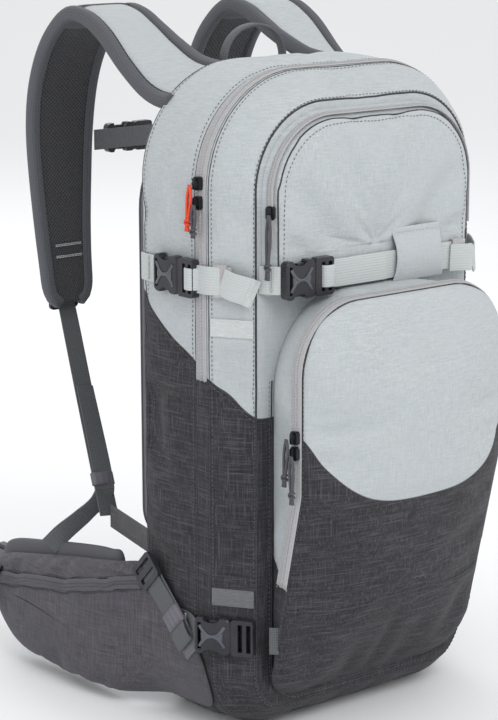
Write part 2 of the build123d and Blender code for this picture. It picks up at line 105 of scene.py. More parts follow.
def lamp(name, place, size, power, colour=(1, 1, 1)):
    """A square studio lamp aimed at the middle of the pack."""
    data = bpy.data.lights.new(name, "AREA")
    data.energy, data.size, data.color = power, size, colour
    light = bpy.data.objects.new(name, data)
    light.location = place
    light.rotation_euler = (PACK_MIDDLE - Vector(place)).to_track_quat("-Z", "Y").to_euler()
    bpy.context.collection.objects.link(light)


lamp("key_lamp", (-0.6, -2.6, 2.8), 1.8, 42)
lamp("fill_lamp", (-2.8, -0.2, 1.2), 2.0, 7, (0.95, 0.97, 1.0))
lamp("front_lamp", (2.2, -2.2, 1.1), 2.4, 9, (1.0, 0.98, 0.96))
lamp("back_lamp", (0.8, 2.4, 2.2), 1.6, 16)

world = bpy.data.worlds.new("studio")
world.use_nodes = True
world.node_tree.nodes["Background"].inputs["Color"].default_value = (1.0, 1.0, 1.0, 1)
world.node_tree.nodes["Background"].inputs["Strength"].default_value = 0.92
bpy.context.scene.world = world
bpy.context.scene.view_settings.view_transform = "Standard"

floor_mesh = bpy.data.meshes.new("floor")
FLOOR_Z = cad_box[0][2] - 0.0005
floor_mesh.from_pydata([(x, y, FLOOR_Z) for x, y in ((-9, -9), (9, -9), (9, 9), (-9, 9))], [], [(0, 1, 2, 3)])
floor = bpy.data.objects.new("floor", floor_mesh)
floor_paint = bpy.data.materials.new("floor_paint")
floor_paint.use_nodes = True
floor_paint.node_tree.nodes["Principled BSDF"].inputs["Base Color"].default_value = (0.86, 0.87, 0.88, 1)
floor_paint.node_tree.nodes["Principled BSDF"].inputs["Roughness"].default_value = 0.75
floor_mesh.materials.append(floor_paint)
bpy.context.collection.objects.link(floor)

# ---- The bag: main compartment ----
# The main compartment is a box of coated polyester, cut from a front, a back and one long side strip.
# The strip is silver above a slanting seam and heathered charcoal below it, with foam and lining inside.
# The skin is sewn to its back edge and to the main zip, and swells between them.
MM = 0.001


class Cloth:
    """The shader of one fabric or moulding, put together thread by thread."""

    def __init__(self, name, roughness, sheen=0.0, metallic=0.0, specular=0.5):
        self.material = bpy.data.materials.new(name)
        self.material.use_nodes = True
        self.tree = self.material.node_tree
        self.shader = self.tree.nodes["Principled BSDF"]
        self.shader.inputs["Roughness"].default_value = roughness
        self.shader.inputs["Sheen Weight"].default_value = sheen
        self.shader.inputs["Sheen Roughness"].default_value = 0.5
        self.shader.inputs["Metallic"].default_value = metallic
        self.shader.inputs["Specular IOR Level"].default_value = specular
        coords = self.tree.nodes.new("ShaderNodeTexCoord")
        self.place, self.uv = coords.outputs["Object"], coords.outputs["UV"]

    def math(self, kind, a, b=0.0, c=0.0):
        """One sum on numbers or other nodes' results."""
        node = self.tree.nodes.new("ShaderNodeMath")
        node.operation = kind
        for socket, value in zip(node.inputs, (a, b, c)):
            if isinstance(value, (int, float)):
                socket.default_value = value
            else:
                self.tree.links.new(value, socket)
        return node.outputs[0]

    def axes(self, vector):
        node = self.tree.nodes.new("ShaderNodeSeparateXYZ")
        self.tree.links.new(vector, node.inputs[0])
        return node.outputs

    def noise(self, scale, detail=2.0, rough=0.5, vector=None, seed=0.0):
        """Noise with its own scale along each axis, in features per metre."""
        stretch = self.tree.nodes.new("ShaderNodeMapping")
        stretch.inputs["Scale"].default_value = scale
        stretch.inputs["Location"].default_value = (seed, seed * 1.7, seed * 2.3)
        self.tree.links.new(vector or self.place, stretch.inputs["Vector"])
        node = self.tree.nodes.new("ShaderNodeTexNoise")
        node.inputs["Scale"].default_value = 1.0
        node.inputs["Detail"].default_value = detail
        node.inputs["Roughness"].default_value = rough
        self.tree.links.new(stretch.outputs[0], node.inputs["Vector"])
        return node.outputs["Fac"]

    def spread(self, value, low, high, to_low=0.0, to_high=1.0):
        """A value's range from low to high, stretched over a new one and held at its ends."""
        node = self.tree.nodes.new("ShaderNodeMapRange")
        for index, number in enumerate((low, high, to_low, to_high)):
            node.inputs[index + 1].default_value = number
        self.tree.links.new(value, node.inputs[0])
        return node.outputs[0]

    def blend(self, amount, a, b):
        """Colour a where the amount is 0 and colour b where it is 1."""
        node = self.tree.nodes.new("ShaderNodeMix")
        node.data_type = "RGBA"
        if isinstance(amount, (int, float)):
            node.inputs[0].default_value = amount
        else:
            self.tree.links.new(amount, node.inputs[0])
        for socket, value in ((node.inputs[6], a), (node.inputs[7], b)):
            if isinstance(value, tuple):
                socket.default_value = (*value, 1)
            else:
                self.tree.links.new(value, socket)
        return node.outputs[2]

    def finish(self, colour, height=None, depth=0.0004, roughness=None):
        """The finished material, with fine relief of so many metres from a height."""
        if isinstance(colour, tuple):
            self.shader.inputs["Base Color"].default_value = (*colour, 1)
        else:
            self.tree.links.new(colour, self.shader.inputs["Base Color"])
        if roughness is not None:
            self.tree.links.new(roughness, self.shader.inputs["Roughness"])
        if height is not None:
            bump = self.tree.nodes.new("ShaderNodeBump")
            bump.inputs["Strength"].default_value = 1.0
            bump.inputs["Distance"].default_value = depth
            self.tree.links.new(height, bump.inputs["Height"])
            self.tree.links.new(bump.outputs[0], self.shader.inputs["Normal"])
        return self.material


def plain_cloth(name, roughness, sheen, scale, octaves, limits, deep, pale, depth):
    """One yarn in two shades: its unevenness gives both the colour and the relief."""
    cloth = Cloth(name, roughness, sheen=sheen)
    yarn = cloth.noise(scale, octaves, 0.5)
    return cloth.finish(cloth.blend(cloth.spread(yarn, *limits), deep, pale), yarn, depth)


SILVER, SILVER_DEEP, SILVER_PALE = (0.425, 0.455, 0.470), (0.345, 0.374, 0.390), (0.510, 0.540, 0.552)
CHARCOAL, CHARCOAL_DEEP = (0.032, 0.031, 0.036), (0.014, 0.0135, 0.017)
CHARCOAL_THREAD = (0.105, 0.102, 0.112)


def silver_threads(cloth):
    """Colour and height of the silver fabric: fine plain weave with a faint check and soft cloudiness."""
    warp = cloth.noise((1300, 1300, 90), 2, 0.6)
    weft = cloth.noise((90, 90, 1300), 2, 0.6, seed=3)
    cloud = cloth.noise((9, 9, 7), 3, 0.55, seed=7)
    threads = cloth.math("ADD", warp, weft)
    fine = cloth.blend(cloth.spread(threads, 0.75, 1.25), SILVER_DEEP, SILVER_PALE)
    colour = cloth.blend(cloth.spread(cloud, 0.35, 0.7, 0.25, 0.75), fine, SILVER)
    return colour, threads


def charcoal_threads(cloth):
    """Colour and height of the charcoal fabric: dark threads crossed by uneven pale ones."""
    warp = cloth.noise((760, 760, 34), 3, 0.7, seed=1)
    weft = cloth.noise((34, 34, 760), 3, 0.7, seed=5)
    cloud = cloth.noise((14, 14, 10), 2, 0.5, seed=9)
    pale = cloth.math("MAXIMUM", cloth.spread(warp, 0.52, 0.74), cloth.spread(weft, 0.52, 0.74))
    dark = cloth.math("MINIMUM", cloth.spread(warp, 0.30, 0.50), cloth.spread(weft, 0.30, 0.50))
    ground = cloth.blend(dark, CHARCOAL_DEEP, CHARCOAL)
    colour = cloth.blend(cloth.math("MULTIPLY", pale, cloth.spread(cloud, 0.3, 0.7, 0.55, 1.0)), ground,
                         CHARCOAL_THREAD)
    return colour, cloth.math("ADD", warp, weft)


SLANT_BACK, SLANT_FRONT = (0.72, 0.4235), (0.90, 0.4462)
EDGE_BLUR = 0.0006


def slant(cloth):
    """1 above the slanting seam of the sides, 0 below it."""
    x, y, z = cloth.axes(cloth.place)
    back_line = cloth.math("MULTIPLY_ADD", y, *SLANT_BACK)
    front_line = cloth.math("MULTIPLY_ADD", y, *SLANT_FRONT)
    line = cloth.math("MINIMUM", back_line, front_line)
    return cloth.spread(cloth.math("SUBTRACT", z, line), -EDGE_BLUR, EDGE_BLUR)


def two_tone(name, mask):
    """The bag's fabric: silver where the mask is 1 and charcoal where it is 0."""
    cloth = Cloth(name, 0.78, sheen=0.06, specular=0.25)
    silver, silver_height = silver_threads(cloth)
    charcoal, charcoal_height = charcoal_threads(cloth)
    where = mask(cloth)
    colour = cloth.blend(where, charcoal, silver)
    return cloth.finish(colour, cloth.math("ADD", silver_height, charcoal_height), 0.00022)


body_fabric = two_tone("bag_fabric", slant)


CORNER_POINTS, SIDE_POINTS, TOP_POINTS = 14, 52, 18


def outline(half_width, low, high, low_radius, high_radius):
    """Points round a panel with rounded corners, from its lower right corner anticlockwise, in metres."""
    corners = ((1, low + low_radius, low_radius, -90), (1, high - high_radius, high_radius, 0),
               (-1, high - high_radius, high_radius, 90), (-1, low + low_radius, low_radius, 180))
    arcs = []
    for side, z, radius, start in corners:
        turns = [math.radians(start + 90 * k / CORNER_POINTS) for k in range(CORNER_POINTS + 1)]
        arcs.append([(side * (half_width - radius) + radius * math.cos(a), z + radius * math.sin(a))
                     for a in turns])
    points = []
    for arc, following, run in zip(arcs, arcs[1:] + arcs[:1], (SIDE_POINTS, TOP_POINTS) * 2):
        (x0, z0), (x1, z1) = arc[-1], following[0]
        points += arc
        points += [(x0 + (x1 - x0) * k / run, z0 + (z1 - z0) * k / run) for k in range(1, run)]
    return [(x * MM, z * MM) for x, z in points]


def ring(points, depth):
    """An outline stood up at a depth in y, which may be a number or a function of x and z."""
    return [Vector((x, depth(x, z) if callable(depth) else depth, z)) for x, z in points]


def shares(count):
    """Even shares of a length, from 0 to 1."""
    return [k / count for k in range(count + 1)]


def between(first, last, steps):
    """Rings from first to last, both included."""
    return [[a.lerp(b, t) for a, b in zip(first, last)] for t in shares(steps)]


def to_middle(edge, steps, crown, depth=None):
    """Rings from a panel's edge to the upright line through its middle, swelling by crown along -y."""
    width = max(p.x for p in edge)
    low, high = min(p.z for p in edge) + width, max(p.z for p in edge) - width
    hearts = [Vector((0, p.y, min(max(p.z, low), high))) for p in edge]
    if depth is not None:
        hearts = [Vector((0, depth(0, p.z), p.z)) for p in hearts]
    rings = []
    for t in shares(steps)[1:]:
        swelling = Vector((0, -crown * math.sin(math.pi / 2 * t) ** 0.75, 0))
        rings.append([p.lerp(heart, t) + swelling for p, heart in zip(edge, hearts)])
    return rings


def placed(name, mesh, body):
    """The piece made from a mesh, riding on a body when one is given."""
    piece = bpy.data.objects.new(name, mesh)
    bpy.context.collection.objects.link(piece)
    if body:
        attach(piece, body)
    return piece


def skin(name, rings, fabric, body="pack", closed=True):
    """A piece of fabric laid over rings of points, closed round each ring unless it is a flat sheet."""
    count = len(rings[0])
    points = [p for r in rings for p in r]
    around = range(count if closed else count - 1)
    faces = []
    for low, i in ((k * count, i) for k in range(len(rings) - 1) for i in around):
        j = (i + 1) % count
        faces.append((low + i, low + j, low + count + j, low + count + i))
    mesh = bpy.data.meshes.new(name)
    mesh.from_pydata(points, [], faces)
    work = bmesh.new()
    work.from_mesh(mesh)
    bmesh.ops.remove_doubles(work, verts=work.verts, dist=0.00005)
    bmesh.ops.dissolve_degenerate(work, edges=work.edges, dist=0.00002)
    bmesh.ops.recalc_face_normals(work, faces=work.faces)
    work.to_mesh(mesh)
    work.free()
    mesh.polygons.foreach_set("use_smooth", [True] * len(mesh.polygons))
    mesh.materials.append(fabric)
    return placed(name, mesh, body)


AIR_FRAMES = 16
GROUND = 0.0005


def swell(piece, sewn, reach, pressure=4.0):
    """Lets air swell a fabric piece between its sewn points, by no more than reach metres."""
    mesh = piece.data
    group = piece.vertex_groups.new(name="sewn")
    group.add([v.index for v in mesh.vertices if sewn(v.co)], 1.0, "REPLACE")
    air = piece.modifiers.new("air", "CLOTH")
    rules = air.settings
    rules.quality = 4
    rules.mass = 0.25
    rules.tension_stiffness = rules.compression_stiffness = 12
    rules.shear_stiffness = 8
    rules.bending_stiffness = 6
    rules.air_damping = 2
    rules.use_pressure = True
    rules.uniform_pressure_force = pressure
    rules.vertex_group_mass = "sewn"
    rules.shrink_min = -0.03
    rules.effector_weights.gravity = 0
    scene = bpy.context.scene
    scene.frame_start, scene.frame_end = 1, AIR_FRAMES
    air.point_cache.frame_start, air.point_cache.frame_end = 1, AIR_FRAMES
    for number in range(1, AIR_FRAMES + 1):
        scene.frame_set(number)
    blown = piece.evaluated_get(bpy.context.evaluated_depsgraph_get()).to_mesh()
    moved = np.empty(len(mesh.vertices) * 3)
    blown.vertices.foreach_get("co", moved)
    start = np.empty_like(moved)
    mesh.vertices.foreach_get("co", start)
    moved, start = moved.reshape(-1, 3), start.reshape(-1, 3)
    piece.modifiers.remove(air)
    piece.vertex_groups.remove(group)
    scene.frame_set(1)
    step = moved - start
    length = np.linalg.norm(step, axis=1)
    share = np.where(length > 1e-9, reach * np.tanh(length / reach) / np.maximum(length, 1e-9), 0)
    settled = start + step * share[:, None]
    settled[:, 2] = np.maximum(settled[:, 2], GROUND)
    mesh.vertices.foreach_set("co", settled.ravel())
    mesh.update()


def smooth_over(piece):
    """One level of subdivision, so that the fabric has no facets."""
    rounding = piece.modifiers.new("rounding", "SUBSURF")
    rounding.levels = rounding.render_levels = 1


BACK_Y, ZIP_SEAM_Y, FRONT_Y = -28.0, -124.0, -162.0
HALF_WIDTH, HEIGHT, LOW_RADIUS, HIGH_RADIUS = 152.0, 600.0, 62.0, 100.0
TAPER_TURN = math.radians(33)
TAPER = math.tan(TAPER_TURN)
STRAP_Z, LOW_STRAP_Z = 0.423, 0.099
STRAP_PATCH = 0.015


def bag_outline(inset=0.0):
    """The bag seen from the front, drawn in by inset millimetres all round."""
    return outline(HALF_WIDTH - inset, inset, HEIGHT - inset, LOW_RADIUS - inset, HIGH_RADIUS - inset)


door_hole = outline(124, 164, 539, 26, 70)
main_rings = between(ring(door_hole, BACK_Y * MM), ring(bag_outline(4), BACK_Y * MM), 4)
main_rings += between(ring(bag_outline(1), (BACK_Y - 2) * MM), ring(bag_outline(0), (BACK_Y - 6) * MM), 1)
main_rings += between(ring(bag_outline(0), (BACK_Y - 6) * MM), ring(bag_outline(0), -0.108), 12)[1:]
main_rings += between(ring(bag_outline(0), -0.112), ring(bag_outline(0), ZIP_SEAM_Y * MM), 2)
main_bag = skin("main_bag", main_rings, body_fabric)


def main_sewn(p):
    """The back edge, the zip, the places under webbing and the seat of the hip wing."""
    edge = p.y > -0.034 or p.y < -0.107
    on_side = abs(p.x) > 0.14
    strapped = on_side and abs(p.z - STRAP_Z) < STRAP_PATCH
    winged = on_side and 0.05 < p.z < 0.155 and p.y > -0.118
    return edge or strapped or winged


swell(main_bag, main_sewn, 0.009)
smooth_over(main_bag)
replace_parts(main_bag, "main_compartment")

lining_fabric = plain_cloth("lining_cloth", 0.65, 0.1, (900, 900, 900), 2, (0.3, 0.7), (0.10, 0.105, 0.115),
                            (0.17, 0.175, 0.19), 0.0002)
lining_edge = outline(148, 4, 596, 58, 96)
lining_rings = between(ring(lining_edge, -0.0305), ring(lining_edge, -0.1212), 6)
lining_rings += to_middle(lining_rings[-1], 6, 0.0)
main_lining = skin("main_lining", lining_rings, lining_fabric)
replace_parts(main_lining, "main_compartment")

# ---- The bag: snow safety compartment ----
# The front box holds the shovel and probe. Its gusset narrows from the main zip to a piped front seam,
# and its panels are cut from the same silver and charcoal fabric as the main compartment.
safety_rings = between(ring(bag_outline(0), ZIP_SEAM_Y * MM), ring(bag_outline(24.7), FRONT_Y * MM), 6)
safety_rings += to_middle(safety_rings[-1], 10, 0.0)
safety_bag = skin("safety_bag", safety_rings, body_fabric)


def safety_sewn(p):
    """The zip, the front seam and the places under webbing and the lower buckle."""
    edge = p.y > -0.126 or p.y < -0.160
    heights = ((STRAP_Z, 0.018), (LOW_STRAP_Z, 0.019), (0.381, 0.010), (0.134, 0.010))
    return edge or (abs(p.x) > 0.11 and any(abs(p.z - z) < reach for z, reach in heights))


swell(safety_bag, safety_sewn, 0.006)
smooth_over(safety_bag)
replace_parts(safety_bag, "safety_compartment")

# ---- The front pockets ----
# The goggle pocket is a low arched box above the front strap. The lower pocket is a deep bellows pocket
# that stands out most under the strap and leans back to the base; both have zips round their edges.


def ease(t, start, end):
    """0 before start, 1 after end, and a smooth rise between."""
    share = min(max((t - start) / (end - start), 0.0), 1.0)
    return share * share * (3 - 2 * share)


goggle_base = ring(outline(122, 409, 568, 8, 70), FRONT_Y * MM)
goggle_edge = ring(outline(114, 414, 560, 6, 64), -0.1735)
goggle_rings = between(goggle_base, goggle_edge, 3)
goggle_rings += [[p.lerp(Vector((0, p.y, 0.49)), 0.02) + Vector((0, -0.0018, 0)) for p in goggle_edge]]
goggle_rings += to_middle(goggle_rings[-1], 12, 0.004)
GOGGLE_FACE = -0.1755
for p in [p for row in goggle_rings for p in row if p.y < GOGGLE_FACE]:
    p.y = GOGGLE_FACE + (p.y - GOGGLE_FACE) * ease(p.z, 0.445, 0.490)
goggle_bag = skin("goggle_bag", goggle_rings, body_fabric)
swell(goggle_bag, lambda p: p.y > -0.171 or p.z < 0.446, 0.007, pressure=3)
smooth_over(goggle_bag)
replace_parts(goggle_bag, "goggle_pocket")


LEAN_START, LEAN = 0.240, 0.225


def pocket_depth(x, z):
    """How far the lower pocket's front edge stands out: least at the base."""
    lean = max(0.0, LEAN_START - z) * LEAN
    tuck = max(0.0, 0.075 - z) * 0.25
    return -0.216 + lean + tuck


def pocket_mask(cloth):
    """Silver above the pocket's curved seam and on the zip's side strip, charcoal below."""
    x, y, z = cloth.axes(cloth.place)
    across = cloth.math("DIVIDE", cloth.math("ABSOLUTE", cloth.math("ADD", x, -0.004)), 0.112)
    curve = cloth.math("MULTIPLY_ADD", cloth.math("POWER", across, 3.4), 0.046, 0.226)
    front = cloth.spread(cloth.math("SUBTRACT", z, curve), -EDGE_BLUR, EDGE_BLUR)
    strip_foot = cloth.math("MULTIPLY_ADD", y, 0.76, 0.295)
    strip = cloth.spread(cloth.math("SUBTRACT", z, strip_foot), -EDGE_BLUR, EDGE_BLUR)
    below_strap = cloth.math("MAXIMUM", cloth.math("SUBTRACT", LEAN_START, z), 0.0)
    rim = cloth.math("MULTIPLY_ADD", below_strap, LEAN, -0.2152)
    on_side = cloth.spread(cloth.math("SUBTRACT", y, rim), -0.0003, 0.0003)
    return cloth.math("MAXIMUM", front, cloth.math("MULTIPLY", strip, on_side))


pocket_fabric = two_tone("pocket_fabric", pocket_mask)
pocket_base = ring(outline(108, 36, 411, 34, 88), FRONT_Y * MM)
pocket_outer = outline(121, 34, 407, 40, 62)
pocket_edge = ring(pocket_outer, pocket_depth)
pocket_rings = between(pocket_base, pocket_edge, 6)
pocket_rings += [[p + Vector((-p.x * 0.022, -0.0035, (0.22 - p.z) * 0.014)) for p in pocket_edge]]
pocket_rings += to_middle(pocket_rings[-1], 14, 0.017, depth=lambda x, z: pocket_depth(x, z) - 0.0035)
pocket_bag = skin("pocket_bag", pocket_rings, pocket_fabric)


def pocket_sewn(p):
    """The back seam, the zip edge, and the patch that the lower strap pulls in."""
    edge = p.y > -0.165 or (abs(p.x) > 0.1165 and p.y < pocket_depth(p.x, p.z) + 0.012)
    return edge or (p.z > 0.400 and p.y > -0.22)


swell(pocket_bag, pocket_sewn, 0.010, pressure=3)
smooth_over(pocket_bag)
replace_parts(pocket_bag, "front_pocket")


# ---- Seams ----
# Each seam is a felled fold with one row of stitches beside it: the fold is a low ridge of fabric, coloured
# dark as painted shade of the seam's crease, and the thread is dark on the silver cloth. Seams lie on the
# bag's skin, wherever the stuffing has pushed it.


def curve_through(points, step=0.005):
    """Points at about one spacing on a smooth curve through a few chosen points."""
    marks = [Vector(p) for p in points]
    marks = [marks[0] * 2 - marks[1]] + marks + [marks[-1] * 2 - marks[-2]]
    line = [marks[1]]
    for a, b, c, d in zip(marks, marks[1:], marks[2:], marks[3:]):
        count = max(2, round((c - b).length / step))
        for k in range(1, count + 1):
            t = k / count
            bend = (2 * a - 5 * b + 4 * c - d) * t ** 2 + (3 * b - a - 3 * c + d) * t ** 3
            line.append((2 * b + (c - a) * t + bend) * 0.5)
    return line


def tape_section(width, thickness):
    """A flat strip's section with softened edges, as (across, outward) points."""
    w, t = width / 2, thickness / 2
    edge = min(t, w * 0.3)
    return [(-w, -t * 0.4), (-w + edge, -t), (w - edge, -t), (w, -t * 0.4),
            (w, t * 0.4), (w - edge, t), (-w + edge, t), (-w, t * 0.4)]


def round_section(radius, sides=8):
    """A cord's section."""
    turns = [2 * math.pi * k / sides for k in range(sides)]
    return [(radius * math.cos(a), radius * math.sin(a)) for a in turns]


def sweep(name, line, across, section, fabric, body="pack", smooth=True):
    """A strip or cord: a section carried along a line, with closed ends and a map in metres for its weave."""
    work = bmesh.new()
    chart = work.loops.layers.uv.new("UVMap")
    rows, lengths = [], [0.0]
    last = len(line) - 1
    for k, p in enumerate(line):
        along = (line[min(k + 1, last)] - line[max(k - 1, 0)]).normalized()
        side = Vector(across(k / last) if callable(across) else across)
        out = side.cross(along).normalized()
        side = along.cross(out).normalized()
        shape = section(k / last) if callable(section) else section
        rows.append([work.verts.new(p + side * w + out * h) for w, h in shape])
        if k:
            lengths.append(lengths[-1] + (p - line[k - 1]).length)
    shape = section(0.5) if callable(section) else section
    sides = len(shape)
    girth = [0.0]
    for (w0, h0), (w1, h1) in zip(shape, shape[1:] + shape[:1]):
        girth.append(girth[-1] + math.hypot(w1 - w0, h1 - h0))
    for k in range(last):
        for i in range(sides):
            j = (i + 1) % sides
            face = work.faces.new((rows[k][i], rows[k][j], rows[k + 1][j], rows[k + 1][i]))
            face.smooth = smooth
            spots = ((lengths[k], girth[i]), (lengths[k], girth[i + 1]),
                     (lengths[k + 1], girth[i + 1]), (lengths[k + 1], girth[i]))
            for corner, spot in zip(face.loops, spots):
                corner[chart].uv = spot
    work.faces.new(rows[0])
    work.faces.new(rows[-1])
    bmesh.ops.recalc_face_normals(work, faces=work.faces)
    mesh = bpy.data.meshes.new(name)
    work.to_mesh(mesh)
    work.free()
    mesh.materials.append(fabric)
    return placed(name, mesh, body)


def laid_on(piece, points, lift=0.0002):
    """Points moved onto a piece's skin, with the skin's outward directions there."""
    tree = BVHTree.FromObject(piece, bpy.context.evaluated_depsgraph_get())
    spots, outs = [], []
    for p in points:
        spot, out, _, _ = tree.find_nearest(p)
        heart = Vector((0, -0.09, min(max(spot.z, 0.12), 0.46)))
        if out.dot(spot - heart) < 0:
            out = -out
        spots.append(spot + out * lift)
        outs.append(out)
    return spots, outs


def stitches(name, line, outs, thread, body="pack", stitch=0.0026, gap=0.0016,
             half=0.00034):
    """A row of sewn stitches: short flattened threads along a line, lying on the cloth."""
    points, faces = [], []
    walked, due = 0.0, 0.0
    for a, b, out in zip(line, line[1:], outs):
        run = (b - a).length
        along = (b - a).normalized() if run > 1e-7 else Vector((0, 0, 1))
        side = out.cross(along)
        while due < walked + run:
            start = a + along * (due - walked)
            for reach, fat, high in ((0, 0.35, 0), (0.2, 1, 0.00030), (0.8, 1, 0.00030), (1, 0.35, 0)):
                middle = start + along * stitch * reach + out * high
                points += [middle + side * half * fat, middle + out * half * fat, middle - side * half * fat]
            base = len(points) - 12
            for k in range(3):
                low = base + 3 * k
                faces += [(low, low + 1, low + 4, low + 3), (low + 1, low + 2, low + 5, low + 4),
                          (low + 2, low, low + 3, low + 5)]
            faces += [(base, base + 2, base + 1), (base + 9, base + 10, base + 11)]
            due += stitch + gap
        walked += run
    mesh = bpy.data.meshes.new(name)
    mesh.from_pydata(points, [], faces)
    mesh.materials.append(thread)
    return placed(name, mesh, body)


def thread_of(name, colour):
    """Spun sewing thread, with a fine twist."""
    deep = tuple(0.6 * c for c in colour)
    return plain_cloth(name, 0.6, 0.2, (2500, 2500, 2500), 1, (0.35, 0.65), deep, colour, 0.0001)


dark_thread = thread_of("dark_thread", (0.10, 0.10, 0.115))
pale_thread = thread_of("pale_thread", (0.55, 0.57, 0.58))
# Dark colour of the seam folds: painted shade of the seam creases, laid on a real raised ridge.
seam_shade_fold = plain_cloth("seam_cloth", 0.8, 0.0, (500, 500, 500), 2, (0.3, 0.7), (0.022, 0.022, 0.026),
                        (0.055, 0.056, 0.062), 0.0002)


def seam(name, piece, points, beside=None, ridge=0.0005, body="pack"):
    """A seam's fold on a skin, coloured dark as painted shade of its crease, and a row of stitches beside it.
    """
    line, outs = laid_on(piece, points, 0.0)
    sweep(name + "_fold", line, lambda t: Vector((0, 0.6, 0.8)), round_section(ridge, 6), seam_shade_fold, body)
    if beside is not None:
        row, row_outs = laid_on(piece, [p + Vector(beside(p)) for p in points])
        stitches(name + "_stitches", row, row_outs, dark_thread, body)


def one_run(loop, wanted):
    """The wanted part of a closed loop, as one run from just after the cut to its other end."""
    part = [p for p in loop if wanted(p)]
    cut = max(range(len(part)), key=lambda k: (part[k] - part[k - 1]).length)
    return part[cut:] + part[:cut]


def bag_ring(inset, y):
    """A loop round the bag's gusset, closed on itself."""
    loop = ring(bag_outline(inset), y)
    return loop + [loop[0]]


def inward(reach):
    """A move of some metres from the gusset towards the middle of the bag's face."""
    def move(p):
        heart = Vector((0, 0, min(max(p.z, 0.12), 0.48)))
        step = heart - Vector((p.x, 0, p.z))
        return step.normalized() * reach
    return move


seam("back_edge_seam", main_bag, bag_ring(0, -0.035), lambda p: (0, -0.004, 0))
seam("zip_back_seam", main_bag, bag_ring(0, -0.1075), lambda p: (0, 0.0035, 0))
seam("zip_front_seam", safety_bag, bag_ring(0, -0.1255), lambda p: (0, -0.0035, 0))
seam("front_edge_seam", safety_bag, bag_ring(24.2, -0.1615), lambda p: (0, 0.004, 0), 0.0010)
SIDES = ((-1, "left"), (1, "right"))
for sign, hand in SIDES:
    for piece, y_start, y_end in ((main_bag, -0.034, -0.107), (safety_bag, -0.126, -0.161)):
        slope = []
        for t in shares(20):
            y = y_start + (y_end - y_start) * t
            z = min(tilt * y + start for tilt, start in (SLANT_BACK, SLANT_FRONT))
            slope.append(Vector((sign * (0.153 - max(0.0, ZIP_SEAM_Y * MM - y) * TAPER), y, z)))
        seam(f"slant_seam_{hand}_{piece.name}", piece, slope, lambda p: (0, 0, -0.0035), 0.0005)

foot_line = one_run(ring(outline(111, 33, 413, 37, 90), -0.1625), lambda p: p.z < 0.34)
seam("pocket_foot_seam", safety_bag, foot_line, inward(-0.0028), 0.0008)
pocket_rim = [Vector((x * 1.012, pocket_depth(x, z) + 0.0008, z)) for x, z in pocket_outer]
seam("pocket_rim_seam", pocket_bag, pocket_rim + [pocket_rim[0]], inward(0.005), 0.0006)
hem = curve_through([(-0.113, -0.205, 0.130), (-0.06, -0.235, 0.122), (0, -0.24, 0.120),
                     (0.06, -0.235, 0.122), (0.113, -0.205, 0.130)])
seam("pocket_hem_seam", pocket_bag, hem, None, 0.0013)
goggle_top = one_run(ring(outline(113, 414, 560, 6, 64), -0.174), lambda p: p.z > 0.43)
seam("goggle_rim_seam", goggle_bag, goggle_top, inward(0.005), 0.0008)

# ---- The zips ----
# Each zip is a woven tape with a spiral coil down its middle, sewn in by two rows of pale thread.
# The tape follows the edge of its opening from one end stop, over the top, to the other.


def uv_waves(cloth, along=0.0, across=0.0):
    """Even ribs of a woven strip, from 0 to 1, with so many radians per metre each way."""
    u, v, _ = cloth.axes(cloth.uv)
    phase = cloth.math("ADD", cloth.math("MULTIPLY", u, along), cloth.math("MULTIPLY", v, across))
    return cloth.math("MULTIPLY_ADD", cloth.math("SINE", phase), 0.5, 0.5)


def strip_cloth(name, colour, along=3200.0, across=5200.0, rough=0.7, depth=0.00022, dull=0.72):
    """Woven strip: crosswise picks and lengthwise ribs, with a little unevenness in the yarn."""
    cloth = Cloth(name, rough, sheen=0.06, specular=0.3)
    picks, ribs = uv_waves(cloth, along), uv_waves(cloth, 0.0, across)
    yarn = cloth.noise((900, 900, 900), 2, 0.6)
    height = cloth.math("ADD", cloth.math("MULTIPLY", picks, 0.6), cloth.math("MULTIPLY", ribs, 0.5))
    height = cloth.math("ADD", height, cloth.math("MULTIPLY", yarn, 0.5))
    deep = tuple(dull * c for c in colour)
    return cloth.finish(cloth.blend(cloth.spread(height, 0.3, 1.3), deep, colour), height, depth)


zip_cloth = strip_cloth("zip_cloth", (0.47, 0.465, 0.480), 0, 6000)
coil_nylon = strip_cloth("coil_nylon", (0.55, 0.55, 0.56), 4800, 0, 0.45, 0.0005, 0.35)
dark_zip_cloth = strip_cloth("dark_zip_cloth", (0.115, 0.11, 0.125), 0, 6000)
dark_coil = strip_cloth("dark_coil", (0.10, 0.10, 0.11), 4800, 0, 0.45, 0.0005, 0.35)


def zip_strip(name, line, across, width, tape, coil, facing, body="pack"):
    """A zip: tape, coil and two rows of stitches along a line; facing is 1 or -1, for the coil's side."""
    sweep(name + "_tape", line, across, tape_section(width, 0.0012), tape, body)
    raised, rows, outs = [], ([], []), []
    for k, p in enumerate(line):
        along = (line[min(k + 1, len(line) - 1)] - line[max(k - 1, 0)]).normalized()
        side = Vector(across).normalized()
        out = side.cross(along).normalized() * facing
        raised.append(p + out * 0.0008)
        outs.append(out)
        for row, sign in zip(rows, (-1, 1)):
            row.append(p + out * 0.0006 + side * sign * width * 0.36)
    sweep(name + "_coil", raised, across, [(a * 1.25, b * 0.8) for a, b in round_section(0.0015)], coil, body)
    for row, edge in zip(rows, ("back", "front")):
        stitches(f"{name}_{edge}_row", row, outs, pale_thread if tape is zip_cloth else dark_thread, body,
                 0.0020, 0.0012, 0.00028)


